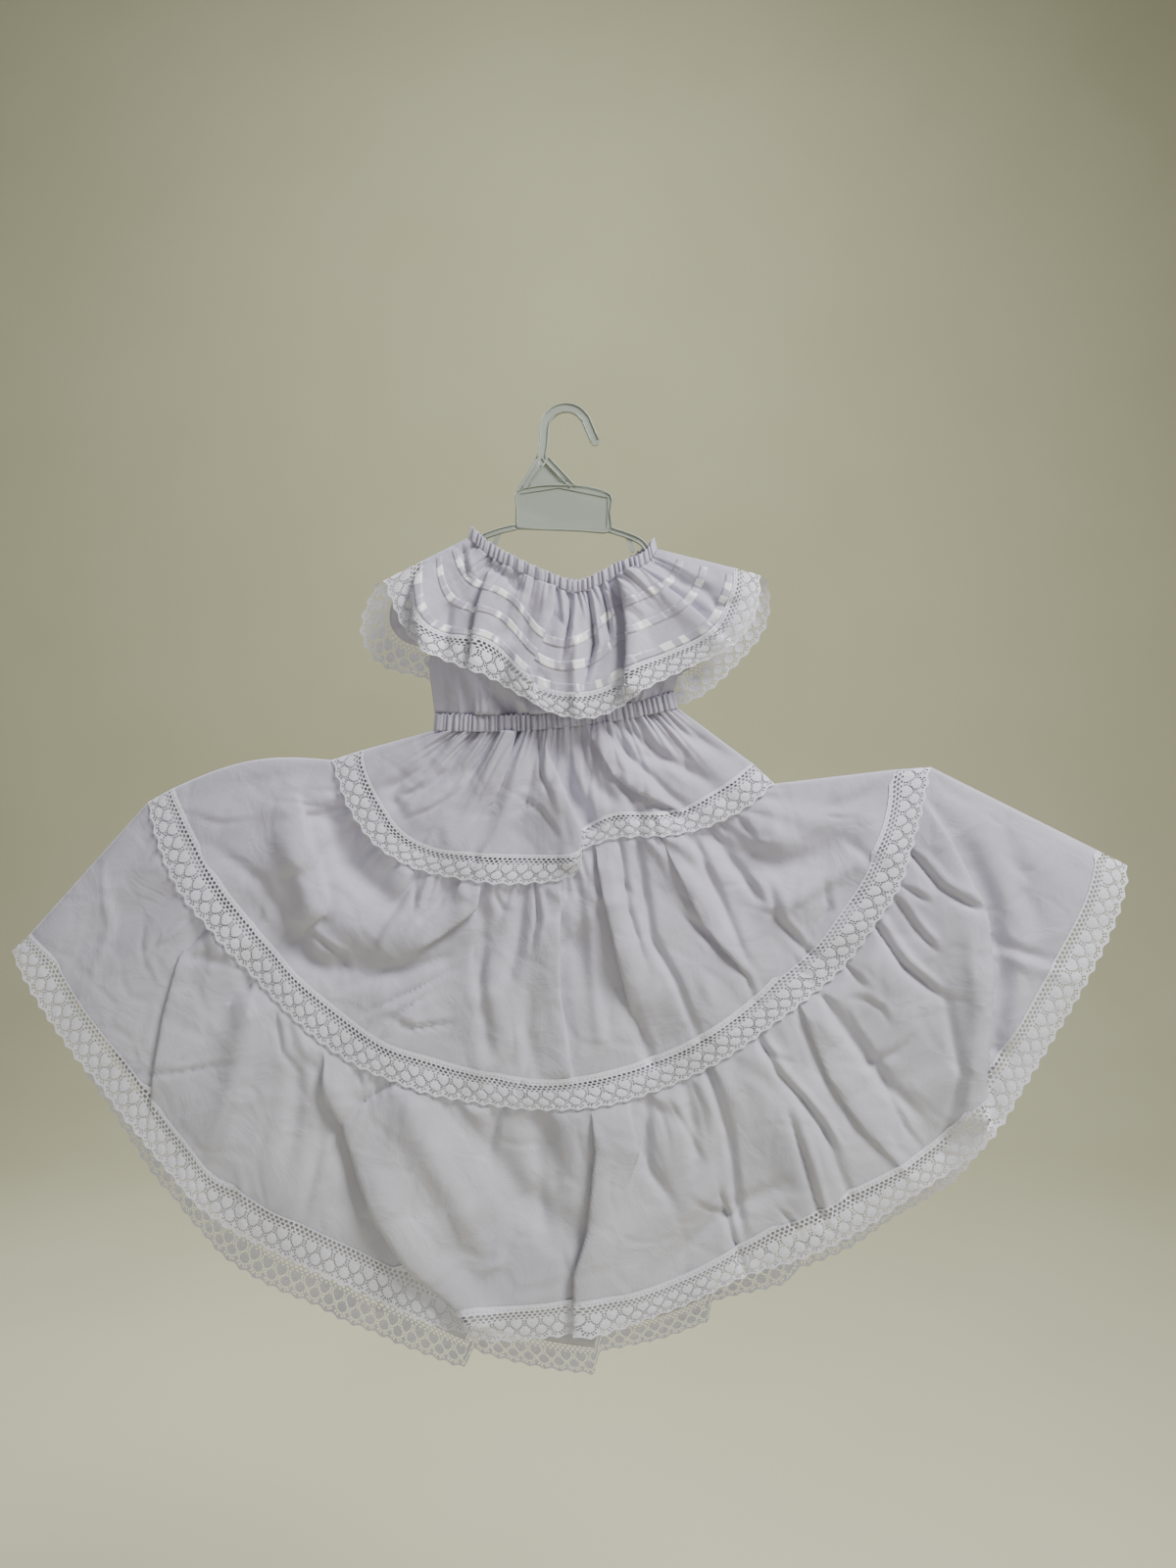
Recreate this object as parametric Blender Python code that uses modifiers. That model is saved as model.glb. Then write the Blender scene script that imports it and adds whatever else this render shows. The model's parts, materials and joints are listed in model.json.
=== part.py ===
"""A small child's pollera dress hanging on a moulded hanger.

Tables and sizes are in millimetres and become metres when a mesh is made. Across is +X to the
right, down is -Z, and the front of the dress faces -Y. The origin is the underside of the hook's
arch, where the hanger rests on what holds it.
"""

import math

import bmesh
import bpy
import numpy as np

MM = 0.001
COLLECTION_NAME = "pollera_dress"
CUTTER_COLLECTION_NAME = "cutters"

# Wall sizes
CLOTH_WALL = 1.2
LACE_WALL = 1.0
RIBBON_WALL = 1.0
SEAM_GAP = 0.35
CORNER_GAP = 0.6
SIDE_HALF_GAP = 0.8
LAYER_STEP = 1.6
RIBBON_LIFT = 1.55
TIER_INSET = 0.42

# Columns of each panel, two for every gather
FRONT_COLUMNS = 40
BACK_COLUMNS = 24
NECK_COLUMNS = {"front": 36, "back": 28}
WAIST_COLUMNS = {"front": 40, "back": 32}
BODICE_COLUMNS = 20

# Edges of the front as rows of (across, down), from the wearer's right side to the left
NECK_TOP = (
    (-68, 82), (-53, 95), (-32, 107), (-7, 118), (8, 122), (23, 116), (36, 109), (55, 101), (63, 90),
)
NECK_BOTTOM = (
    (-70, 90), (-56, 103), (-34, 115), (-8, 126), (8, 130), (25, 124), (39, 117), (57, 109), (65, 98),
)
COLLAR_SEAM = (
    (-104, 107), (-107, 126), (-105, 145), (-98, 157), (-82, 163), (-62, 165), (-49, 171), (-35, 185),
    (-22, 198), (-6, 204), (14, 205), (33, 199), (49, 186), (70, 177), (95, 166), (108, 156),
    (116, 140), (121, 125), (122, 112),
)
COLLAR_EDGE = (
    (-131, 121), (-124, 137), (-115, 156), (-103, 171), (-83, 181), (-55, 192), (-30, 206), (-7, 218),
    (17, 221), (37, 214), (57, 200), (87, 185), (114, 172), (131, 154), (137, 137), (139, 117),
)
WAIST_TOP = ((-94, 216), (-54, 217), (-12, 216), (43, 209), (77, 200))
WAIST_BOTTOM = ((-95, 228), (-54, 229), (-12, 227), (43, 220), (80, 212))
SEAM_1 = (
    (-146, 242), (-145, 253), (-136, 274), (-119, 299), (-98, 312), (-72, 316), (-32, 315), (5, 311),
    (19, 301), (36, 292), (61, 289), (83, 285), (100, 276), (119, 264), (134, 252),
)
LACE_1_EDGE = (
    (-168, 249), (-155, 282), (-136, 308), (-109, 325), (-83, 332), (-58, 335), (-32, 334), (-2, 328),
    (17, 317), (35, 309), (60, 305), (84, 301), (103, 296), (129, 283), (149, 266),
)
SEAM_2 = (
    (-283, 270), (-274, 288), (-247, 334), (-210, 381), (-183, 409), (-137, 444), (-98, 460), (-59, 470),
    (-20, 476), (19, 473), (58, 463), (92, 447), (131, 421), (162, 390), (183, 369), (209, 329),
    (223, 304), (231, 280), (233, 256),
)
LACE_2_EDGE = (
    (-299, 279), (-290, 307), (-276, 338), (-253, 366), (-228, 395), (-196, 426), (-165, 453), (-124, 473),
    (-85, 486), (-46, 492), (-7, 494), (32, 490), (71, 479), (110, 460), (150, 432), (192, 400),
    (219, 365), (237, 336), (248, 302), (255, 277), (261, 254),
)
SEAM_3 = (
    (-385, 375), (-371, 386), (-352, 405), (-311, 455), (-284, 498), (-266, 519), (-245, 543), (-212, 555),
    (-167, 573), (-122, 600), (-99, 613), (-71, 627), (-32, 629), (10, 627), (64, 618), (114, 594),
    (162, 567), (201, 551), (231, 536), (258, 519), (273, 505), (290, 471), (300, 445), (318, 402),
    (339, 368), (359, 337), (383, 315),
)
HEM_EDGE = (
    (-396, 385), (-370, 428), (-318, 492), (-293, 521), (-266, 550), (-248, 568), (-207, 591), (-167, 609),
    (-122, 629), (-77, 646), (-33, 651), (10, 648), (32, 645), (75, 631), (118, 611), (163, 597),
    (205, 578), (239, 555), (277, 532), (304, 505), (320, 480), (338, 452), (361, 414), (386, 370),
    (398, 340), (401, 324),
)
BACK_NECK_TOP = ((-68, 82), (-50, 96), (-28, 109), (0, 118), (24, 116), (46, 103), (63, 90))
BACK_NECK_BOTTOM = ((-70, 90), (-52, 104), (-29, 117), (0, 126), (26, 124), (48, 111), (65, 98))
BACK_COLLAR_SEAM = (
    (-104, 107), (-121, 124), (-128, 146), (-120, 161), (-100, 169), (-60, 188), (0, 205), (60, 193),
    (88, 183), (108, 165), (124, 145), (128, 125), (122, 112),
)
BACK_COLLAR_EDGE = (
    (-139, 124), (-148, 143), (-149, 162), (-134, 181), (-104, 190), (-62, 208), (0, 226), (62, 214),
    (98, 203), (126, 178), (143, 157), (148, 138), (145, 119),
)
SKIRT_EDGES = (WAIST_BOTTOM, SEAM_1, LACE_1_EDGE, SEAM_2, LACE_2_EDGE, SEAM_3, HEM_EDGE)

# Each skirt edge in order: half depth of the front and the back at the middle, and the extra
# length of the back
FRONT_DEPTHS = (8.0, 15.0, 16.0, 21.0, 22.0, 27.0, 28.0)
BACK_DEPTHS = (6.5, 11.0, 11.5, 14.0, 14.5, 16.0, 16.0)
BACK_DROPS = (0.0, 2.0, 2.0, 8.0, 8.0, 20.0, 20.0)

# Half depths of the top of the dress
NECK_DEPTH = {"front": 9.0, "back": 7.5}
COLLAR_DEPTH = {"front": 20.0, "back": 14.0}
COLLAR_LACE_DEPTH = {"front": 21.5, "back": 15.0}
WAIST_DEPTH = {"front": 8.0, "back": 6.5}

# Gathers: how deep they press in at the head and foot of a panel
TIER_GATHERS = {"front": (3.4, 2.0), "back": (2.4, 1.2)}
COLLAR_GATHERS = {"front": (1.2, 1.6), "back": (1.2, 1.6)}
CASING_GATHER = 1.1
GATHER_UNEVENNESS = 0.35

# Large folds of the front skirt: share across at the head and foot, first and last edge it lies
# between, width as a share, depth, and the side on which it drops steeply (-1 left, 1 right)
SKIRT_FOLDS = (
    {"head": 0.24, "foot": 0.34, "first": 3.0, "last": 6.0, "width": 0.060, "depth": 8.0, "steep": 1},
    {"head": 0.55, "foot": 0.50, "first": 3.0, "last": 6.0, "width": 0.040, "depth": 6.0, "steep": -1},
    {"head": 0.93, "foot": 0.76, "first": 3.0, "last": 6.0, "width": 0.045, "depth": 9.0, "steep": -1},
    {"head": 0.64, "foot": 0.62, "first": 3.0, "last": 6.0, "width": 0.035, "depth": 5.0, "steep": 0},
    {"head": 0.58, "foot": 0.56, "first": 0.2, "last": 2.0, "width": 0.050, "depth": 5.0, "steep": -1},
    {"head": 0.50, "foot": 0.52, "first": 1.2, "last": 4.0, "width": 0.040, "depth": 5.0, "steep": 0},
    {"head": 0.30, "foot": 0.27, "first": 1.2, "last": 4.0, "width": 0.045, "depth": 4.0, "steep": 0},
    {"head": 0.70, "foot": 0.74, "first": 1.2, "last": 4.0, "width": 0.040, "depth": 4.0, "steep": 0},
)
BACK_SKIRT_FOLDS = (
    {"head": 0.35, "foot": 0.28, "first": 1.2, "last": 6.0, "width": 0.060, "depth": 4.0, "steep": 0},
    {"head": 0.66, "foot": 0.70, "first": 1.2, "last": 6.0, "width": 0.060, "depth": 4.0, "steep": 0},
)
# The collar's folds: the same columns, without edges, as each runs its whole height
COLLAR_FOLDS = (
    {"head": 0.14, "foot": 0.27, "width": 0.050, "depth": 6.0, "steep": -1},
    {"head": 0.56, "foot": 0.50, "width": 0.075, "depth": 7.5, "steep": 0},
    {"head": 0.80, "foot": 0.66, "width": 0.050, "depth": 6.0, "steep": 1},
    {"head": 0.93, "foot": 0.85, "width": 0.045, "depth": 5.0, "steep": 1},
)
BACK_COLLAR_FOLDS = (
    {"head": 0.30, "foot": 0.32, "width": 0.060, "depth": 4.0, "steep": 0},
    {"head": 0.68, "foot": 0.66, "width": 0.060, "depth": 4.0, "steep": 0},
)
# Ribbons on the collar: upper and lower edge as shares of its height
RIBBON_ROWS = ((0.28, 0.36), (0.56, 0.64), (0.87, 0.95))

# Bodice: share of its height, how far its sides swell out, and its half depth at the sides
BODICE_ROWS = (
    {"share": 0.0, "swell": 0.0, "side": 2.0},
    {"share": 0.25, "swell": 7.0, "side": 4.4},
    {"share": 0.5, "swell": 18.0, "side": 0.8},
    {"share": 0.75, "swell": 11.0, "side": 0.8},
    {"share": 1.0, "swell": 0.0, "side": 0.8},
)
BODICE_NECK_INSET = 0.045

# Hanger
HANGER_THICKNESS = 2.4
HOOK_STRIP = 6.8
HOOK_INNER_RADIUS = 12.2
HOOK_FOOT = (-18.0, 33.0)
HOOK_TIP = (20.5, 20.5)
HOOK_LAST_ANGLE = 20.0
PLATE_TOP_LEFT = (-36.0, 55.8)
PLATE_ARCH = (-5.0, 51.5)
PLATE_TOP_RIGHT = (32.3, 58.5)
PLATE_BOTTOM_RIGHT = (31.6, 86.0)
PLATE_BOTTOM_LEFT = (-36.4, 83.3)
ARM_HALF_HEIGHT = 2.0
LEFT_ARM = ((-35.0, 81.5), (-48.0, 85.0), (-60.0, 89.6), (-66.5, 96.0), (-72.0, 101.5), (-80.0, 109.0))
RIGHT_ARM = ((30.0, 84.0), (44.0, 88.2), (53.5, 92.8), (59.0, 99.6), (64.0, 106.0), (73.0, 114.0))
PRONG_LENGTH = 9.0
PRONG_HALF_WIDTH = 1.6
PLATE_RIM = 2.6
POCKET_DEPTH = 0.6
WEB_POCKET_DEPTH = 0.7

COLORS = {
    "cotton": (0.80, 0.79, 0.88),
    "lace": (0.83, 0.82, 0.90),
    "satin": (0.90, 0.89, 0.95),
    "plastic": (0.62, 0.68, 0.64),
}
ROUGHNESS = {"cotton": 0.85, "lace": 0.8, "satin": 0.3, "plastic": 0.4}


def smooth_line(points, steps=10):
    """Return a dense line through the points, rounded as a Catmull-Rom curve."""
    rows = np.array(points, dtype=float)
    first = 2.0 * rows[0] - rows[1]
    last = 2.0 * rows[-1] - rows[-2]
    rows = np.vstack((first, rows, last))
    line = []
    for before, start, end, after in zip(rows, rows[1:], rows[2:], rows[3:]):
        for step in range(steps):
            t = step / steps
            line.append(0.5 * (
                2.0 * start
                + (end - before) * t
                + (2.0 * before - 5.0 * start + 4.0 * end - after) * t ** 2
                + (3.0 * start - 3.0 * end + after - before) * t ** 3
            ))
    line.append(rows[-2])
    return np.array(line)


LINES = {}


def along(edge, share):
    """Return (across, down) at a share of the edge's length."""
    if edge not in LINES:
        line = smooth_line(edge)
        lengths = np.hypot(*np.diff(line, axis=0).T)
        LINES[edge] = (line, np.concatenate(((0.0,), np.cumsum(lengths))))
    line, travelled = LINES[edge]
    target = share * travelled[-1]
    return np.array((np.interp(target, travelled, line[:, 0]), np.interp(target, travelled, line[:, 1])))


def beside(edge, share):
    """Return a point just below an edge, a seam's gap off it and more at its corners."""
    step = 0.002
    way = along(edge, min(1.0, share + step)) - along(edge, max(0.0, share - step))
    way /= np.hypot(*way)
    gap = SEAM_GAP + CORNER_GAP * (1.0 - roundness(share))
    return along(edge, share) + np.array((-way[1], way[0])) * gap


def mix(first, second, share):
    """Blend two values."""
    return first + (second - first) * share


def roundness(share):
    """Return how far the cloth stands off the middle plane: 0 at the sides, 1 at the middle."""
    return math.sqrt(max(0.0, 4.0 * share * (1.0 - share)))


def unevenness(column, seed):
    """Return a fixed factor near 1 that makes neighbouring gathers differ."""
    return 1.0 + GATHER_UNEVENNESS * math.sin(2.4 * column + seed) * math.cos(0.9 * column + 2.0 * seed)


def gather(column, seed):
    """Return 1 at the hollow between two gathers and 0 at a gather's crest."""
    if column % 2 == 0:
        return 0.0
    return unevenness(column, seed)


def fold_shape(distance, steep):
    """Return the depth of a fold, 1 at its line, at a distance in its own widths."""
    is_steep_side = distance * steep > 0.0
    reach = 0.45 if is_steep_side else 1.0
    return math.exp(-(distance / reach) ** 2)


def fold_depth(folds, share, height, level):
    """Add up the folds that pass a place: height is 0 to 1 down the collar, level an edge's number."""
    total = 0.0
    for fold in folds:
        if level is None:
            progress = height
            strength = progress
        else:
            progress = (level - fold["first"]) / (fold["last"] - fold["first"])
            strength = math.sin(math.pi * 0.5 * min(1.0, max(0.0, 2.0 * progress)))
            if progress > 1.0:
                strength = max(0.0, 1.0 - 2.5 * (progress - 1.0))
        centre = mix(fold["head"], fold["foot"], min(1.2, max(0.0, progress)))
        total += fold["depth"] * strength * fold_shape((share - centre) / fold["width"], fold["steep"])
    return total


def facing(side):
    """Return the sign of Y on the front or the back."""
    return -1.0 if side == "front" else 1.0


def point(side, place, depth):
    """Return a mesh point in millimetres from (across, down) and the distance off the middle plane."""
    return (place[0], facing(side) * max(SIDE_HALF_GAP, depth), -place[1])


def skirt_place(side, level, share, at_seam=False):
    """Return (across, down) on the skirt, where a whole level is one of the skirt's edges."""
    lower = min(int(level), len(SKIRT_EDGES) - 2)
    part = level - lower
    place = mix(along(SKIRT_EDGES[lower], share), along(SKIRT_EDGES[lower + 1], share), part)
    if at_seam:
        place = beside(SKIRT_EDGES[lower], share)
    if side == "back":
        drop = mix(BACK_DROPS[lower], BACK_DROPS[lower + 1], part)
        place = place + np.array((0.0, drop * math.sin(math.pi * share)))
    return place


def skirt_depth(side, level, share):
    """Return the half depth of the outermost layer of the skirt, with its large folds."""
    depths = FRONT_DEPTHS if side == "front" else BACK_DEPTHS
    folds = SKIRT_FOLDS if side == "front" else BACK_SKIRT_FOLDS
    lower = min(int(level), len(depths) - 2)
    depth = mix(depths[lower], depths[lower + 1], level - lower)
    room = roundness(share)
    return SIDE_HALF_GAP + depth * room - fold_depth(folds, share, 0.0, level) * room


def tier_foot_wave(side, column, share, seed):
    """Return how far a tier's foot, and the lace on it, press in at a column."""
    return TIER_GATHERS[side][1] * gather(column, seed) * roundness(share)


def tier_point(side, number, column, columns, level):
    """Return a point of a skirt tier. Below the first, its head lies behind the lace above it."""
    head = (0.0, 1.0, 3.0)[number - 1]
    foot = (1.0, 3.0, 5.0)[number - 1]
    share = column / columns
    down = (level - head) / (foot - head)
    place = skirt_place(side, level, share, at_seam=level == 0.0)
    depth = skirt_depth(side, level, share)
    head_wave, foot_wave = TIER_GATHERS[side]
    wave = mix(head_wave, foot_wave, down) * gather(column, number)
    if number > 1:
        cover = min(1.0, max(0.0, (foot - level) / (foot - head - 1.0)))
        depth -= LAYER_STEP * cover
        depth -= tier_foot_wave(side, column, share, number - 1) * cover
        if column in (0, columns):
            inset = TIER_INSET * cover / columns
            inner_share = inset if column == 0 else 1.0 - inset
            place = skirt_place(side, level, inner_share)
    return point(side, place, depth - wave * roundness(share))


def lace_point(side, number, column, columns, level, at_seam):
    """Return a point of the lace below a tier, which carries on from the tier's foot."""
    share = column / columns
    wave = tier_foot_wave(side, column, share, number)
    place = skirt_place(side, level, share, at_seam)
    return point(side, place, skirt_depth(side, level, share) - wave)


def collar_place(side, height, share, at_seam=False):
    """Return (across, down) on the collar: 0 at the neck, 1 at its seam, 2 at its lace's edge."""
    edges = (NECK_BOTTOM, COLLAR_SEAM, COLLAR_EDGE)
    if side == "back":
        edges = (BACK_NECK_BOTTOM, BACK_COLLAR_SEAM, BACK_COLLAR_EDGE)
    lower = min(int(height), 1)
    if at_seam:
        return beside(edges[lower], share)
    return mix(along(edges[lower], share), along(edges[lower + 1], share), height - lower)


def collar_depth(side, height, column, columns):
    """Return the half depth of the collar or its lace."""
    share = column / columns
    depths = (NECK_DEPTH[side], COLLAR_DEPTH[side], COLLAR_LACE_DEPTH[side])
    folds = COLLAR_FOLDS if side == "front" else BACK_COLLAR_FOLDS
    lower = min(int(height), 1)
    room = roundness(share)
    depth = SIDE_HALF_GAP + mix(depths[lower], depths[lower + 1], height - lower) * room
    head_wave, foot_wave = COLLAR_GATHERS[side]
    wave = mix(head_wave, foot_wave, min(1.0, height)) * gather(column, 5)
    fold = fold_depth(folds, share, min(1.2, height), None)
    return depth - (wave + fold) * room


def collar_point(side, height, column, columns, lift=0.0, at_seam=False):
    """Return a point of the collar, or of what lies on it when it is lifted."""
    place = collar_place(side, height, column / columns, at_seam)
    return point(side, place, collar_depth(side, height, column, columns) + lift)


def bodice_point(side, row, column, columns):
    """Return a point of the bodice, which hangs inside the collar."""
    share = column / columns
    neck = NECK_BOTTOM if side == "front" else BACK_NECK_BOTTOM
    neck_share = mix(BODICE_NECK_INSET, 1.0 - BODICE_NECK_INSET, share)
    height = mix(SEAM_GAP / 80.0, 1.0 - SEAM_GAP / 80.0, row["share"])
    place = mix(along(neck, neck_share), along(WAIST_TOP, share), height)
    place = place + np.array((row["swell"] * (2.0 * share - 1.0), 0.0))
    hollow = COLLAR_GATHERS[side][0] * (1.0 + GATHER_UNEVENNESS)
    neck_room = SIDE_HALF_GAP + (NECK_DEPTH[side] - hollow) * roundness(neck_share) - LAYER_STEP
    waist_room = SIDE_HALF_GAP + WAIST_DEPTH[side] * roundness(share)
    depth = mix(neck_room, waist_room, height)
    if column in (0, columns):
        depth = row["side"]
    return point(side, place, depth)


def casing_point(side, edges, height, depth, column, columns):
    """Return a point of an elastic casing, a narrow strip with fine gathers."""
    share = column / columns
    place = mix(along(edges[0], share), along(edges[1], share), height)
    wave = CASING_GATHER * gather(column, 3) * roundness(share)
    return point(side, place, SIDE_HALF_GAP + depth * roundness(share) - wave)


def make_material(name):
    """Make one of the dress's materials."""
    material = bpy.data.materials.new(name)
    material.use_nodes = True
    shader = material.node_tree.nodes["Principled BSDF"]
    shader.inputs["Base Color"].default_value = (*COLORS[name], 1.0)
    shader.inputs["Roughness"].default_value = ROUGHNESS[name]
    shader.inputs["Metallic"].default_value = 0.0
    return material


def cloth_panel(name, rows, wall, material, collection):
    """Make a panel from rows of points: a grid moved to them and thickened to a wall."""
    columns = len(rows[0])
    builder = bmesh.new()
    bmesh.ops.create_grid(builder, x_segments=columns - 1, y_segments=len(rows) - 1, size=1.0)
    for vertex in builder.verts:
        column = round((vertex.co.x + 1.0) / 2.0 * (columns - 1))
        row = round((1.0 - vertex.co.y) / 2.0 * (len(rows) - 1))
        vertex.co = [value * MM for value in rows[row][column]]
    mesh = bpy.data.meshes.new(name)
    builder.to_mesh(mesh)
    builder.free()
    panel = bpy.data.objects.new(name, mesh)
    collection.objects.link(panel)
    mesh.materials.append(material)
    mesh.shade_smooth()
    solidify = panel.modifiers.new("wall", "SOLIDIFY")
    solidify.thickness = wall * MM
    solidify.offset = 0.0
    solidify.use_even_offset = False
    return panel


def add_skirt(side, materials, collection):
    """Make the three tiers and the lace on each of their seams."""
    columns = FRONT_COLUMNS if side == "front" else BACK_COLUMNS
    tier_levels = (
        (0.0, 0.35, 0.7, 1.0),
        (1.0, 2.0, 2.35, 2.7, 3.0),
        (3.0, 4.0, 4.35, 4.7, 5.0),
    )
    lace_names = ("lace_1", "lace_2", "hem_lace")
    for number, levels in enumerate(tier_levels, start=1):
        rows = [
            [tier_point(side, number, column, columns, level) for column in range(columns + 1)]
            for level in levels
        ]
        cloth_panel(f"tier_{number}_{side}", rows, CLOTH_WALL, materials["cotton"], collection)
        foot = levels[-1]
        rows = [
            [lace_point(side, number, column, columns, level, at_seam) for column in range(columns + 1)]
            for level, at_seam in ((foot, True), (foot + 1.0, False))
        ]
        cloth_panel(f"{lace_names[number - 1]}_{side}", rows, LACE_WALL, materials["lace"], collection)


def add_collar(side, materials, collection):
    """Make the collar ruffle, the lace on its edge and the ribbons that lie on it."""
    columns = NECK_COLUMNS[side]
    cuts = [height for row in RIBBON_ROWS for height in row]
    panels = (
        ("collar_ruffle", (0.0, *cuts, 1.0), CLOTH_WALL, "cotton"),
        ("collar_lace", (1.0, 2.0), LACE_WALL, "lace"),
    )
    for name, heights, wall, material in panels:
        rows = [
            [
                collar_point(side, height, column, columns, at_seam=height == heights[0])
                for column in range(columns + 1)
            ]
            for height in heights
        ]
        cloth_panel(f"{name}_{side}", rows, wall, materials[material], collection)
    for number, row_heights in enumerate(RIBBON_ROWS, start=1):
        rows = [
            [collar_point(side, height, column, columns, RIBBON_LIFT) for column in range(1, columns)]
            for height in row_heights
        ]
        cloth_panel(f"ribbon_{number}_{side}", rows, RIBBON_WALL, materials["satin"], collection)


def add_bodice_and_casings(side, materials, collection):
    """Make the bodice and the gathered strips at the neck and the waist."""
    rows = [
        [bodice_point(side, row, column, BODICE_COLUMNS) for column in range(BODICE_COLUMNS + 1)]
        for row in BODICE_ROWS
    ]
    cloth_panel(f"bodice_{side}", rows, CLOTH_WALL, materials["cotton"], collection)
    neck_edges = (NECK_TOP, NECK_BOTTOM) if side == "front" else (BACK_NECK_TOP, BACK_NECK_BOTTOM)
    casings = (
        ("neck_casing", neck_edges, NECK_DEPTH[side], NECK_COLUMNS[side]),
        ("waist_casing", (WAIST_TOP, WAIST_BOTTOM), WAIST_DEPTH[side], WAIST_COLUMNS[side]),
    )
    for name, edges, depth, columns in casings:
        rows = [
            [casing_point(side, edges, height, depth, column, columns) for column in range(columns + 1)]
            for height in (0.0, 1.0)
        ]
        cloth_panel(f"{name}_{side}", rows, CLOTH_WALL, materials["cotton"], collection)


def band(points, half_width, round_end=False):
    """Return the outline of a band along a line of (across, down) points."""
    line = np.array(points, dtype=float)
    ways = np.gradient(line, axis=0)
    ways /= np.linalg.norm(ways, axis=1)[:, None]
    normals = np.stack((-ways[:, 1], ways[:, 0]), axis=1)
    one_side = [tuple(row) for row in line + normals * half_width]
    other_side = [tuple(row) for row in line - normals * half_width]
    end = []
    if round_end:
        for step in range(1, 6):
            angle = math.pi * step / 6
            turn = normals[-1] * math.cos(angle) + ways[-1] * math.sin(angle)
            end.append(tuple(line[-1] + turn * half_width))
    return one_side + end + other_side[::-1]


def hook_line():
    """Return the hook's centre line, from its foot over the arch to the open tip."""
    radius = HOOK_INNER_RADIUS + HOOK_STRIP / 2.0
    centre = (0.0, HOOK_INNER_RADIUS)
    points = [HOOK_FOOT, (-radius - 0.6, 22.0)]
    steps = 12
    for step in range(steps + 1):
        angle = math.radians(mix(180.0, HOOK_LAST_ANGLE, step / steps))
        points.append((centre[0] + radius * math.cos(angle), centre[1] - radius * math.sin(angle)))
    points.append(HOOK_TIP)
    return points


def flat_piece(name, outline, thickness, collection):
    """Make a flat moulded piece from a closed outline of (across, down) points."""
    curve = bpy.data.curves.new(f"{name}_outline", "CURVE")
    curve.dimensions = "2D"
    curve.fill_mode = "BOTH"
    curve.extrude = thickness * MM / 2.0
    spline = curve.splines.new("POLY")
    spline.points.add(len(outline) - 1)
    for spline_point, (across, down) in zip(spline.points, outline):
        spline_point.co = (across * MM, -down * MM, 0.0, 1.0)
    spline.use_cyclic_u = True
    flat = bpy.data.objects.new(f"{name}_outline", curve)
    flat.rotation_euler = (math.pi / 2.0, 0.0, 0.0)
    collection.objects.link(flat)
    bpy.context.view_layer.update()
    depsgraph = bpy.context.evaluated_depsgraph_get()
    mesh = bpy.data.meshes.new_from_object(flat.evaluated_get(depsgraph))
    mesh.name = name
    builder = bmesh.new()
    builder.from_mesh(mesh)
    bmesh.ops.remove_doubles(builder, verts=builder.verts, dist=1e-6)
    bmesh.ops.recalc_face_normals(builder, faces=builder.faces)
    builder.to_mesh(mesh)
    builder.free()
    solid = bpy.data.objects.new(name, mesh)
    solid.matrix_world = flat.matrix_world.copy()
    collection.objects.link(solid)
    bpy.data.objects.remove(flat)
    return solid


def prong(arm_point, lean):
    """Return the outline of a small prong that hangs from an arm."""
    top = (arm_point[0], arm_point[1])
    foot = (arm_point[0] + lean, arm_point[1] + PRONG_LENGTH)
    return band((top, mix(np.array(top), np.array(foot), 0.5), foot), PRONG_HALF_WIDTH, round_end=True)


def boolean(target, cutter, operation):
    """Join a piece to the target or cut it away."""
    modifier = target.modifiers.new(operation.lower(), "BOOLEAN")
    modifier.operation = operation
    modifier.solver = "EXACT"
    modifier.object = cutter
    cutter.hide_render = True
    cutter.display_type = "WIRE"


def add_hanger(materials, collection, cutters):
    """Make the moulded hanger: plate, hook, web and arms, with shallow pockets inside the rims."""
    arch = smooth_line((PLATE_TOP_LEFT, PLATE_ARCH, PLATE_TOP_RIGHT), 6)
    plate = [tuple(row) for row in arch] + [PLATE_BOTTOM_RIGHT, PLATE_BOTTOM_LEFT]
    hanger = flat_piece("hanger", plate, HANGER_THICKNESS, collection)
    hanger.data.materials.append(materials["plastic"])
    web = ((-21.5, 32.0), (-14.5, 31.0), (7.5, 54.5), (-4.0, 60.0), (-33.0, 60.0), (-35.0, 54.5))
    pieces = (
        ("hook", band(hook_line(), HOOK_STRIP / 2.0, round_end=True)),
        ("web", web),
        ("left_arm", band(smooth_line(LEFT_ARM, 3), ARM_HALF_HEIGHT, round_end=True)),
        ("right_arm", band(smooth_line(RIGHT_ARM, 3), ARM_HALF_HEIGHT, round_end=True)),
        ("left_prong", prong((-48.5, 86.0), -3.0)),
        ("right_prong", prong((44.5, 89.5), 3.0)),
    )
    for name, outline in pieces:
        boolean(hanger, flat_piece(name, outline, HANGER_THICKNESS, cutters), "UNION")
    plate_pocket = (
        (PLATE_TOP_LEFT[0] + PLATE_RIM, PLATE_TOP_LEFT[1] + PLATE_RIM),
        (PLATE_ARCH[0], PLATE_ARCH[1] + PLATE_RIM),
        (PLATE_TOP_RIGHT[0] - PLATE_RIM, PLATE_TOP_RIGHT[1] + PLATE_RIM),
        (PLATE_BOTTOM_RIGHT[0] - PLATE_RIM, PLATE_BOTTOM_RIGHT[1] - PLATE_RIM),
        (PLATE_BOTTOM_LEFT[0] + PLATE_RIM, PLATE_BOTTOM_LEFT[1] - PLATE_RIM),
    )
    web_pocket = ((-18.0, 38.0), (-14.5, 37.5), (1.5, 50.0), (-12.0, 51.0), (-28.0, 52.0))
    pockets = (("plate_pocket", plate_pocket, POCKET_DEPTH), ("web_pocket", web_pocket, WEB_POCKET_DEPTH))
    for name, outline, depth in pockets:
        for sign in (-1.0, 1.0):
            cutter = flat_piece(name, outline, 2.0 * depth, cutters)
            cutter.location.y += sign * HANGER_THICKNESS * MM / 2.0
            boolean(hanger, cutter, "DIFFERENCE")


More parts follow.
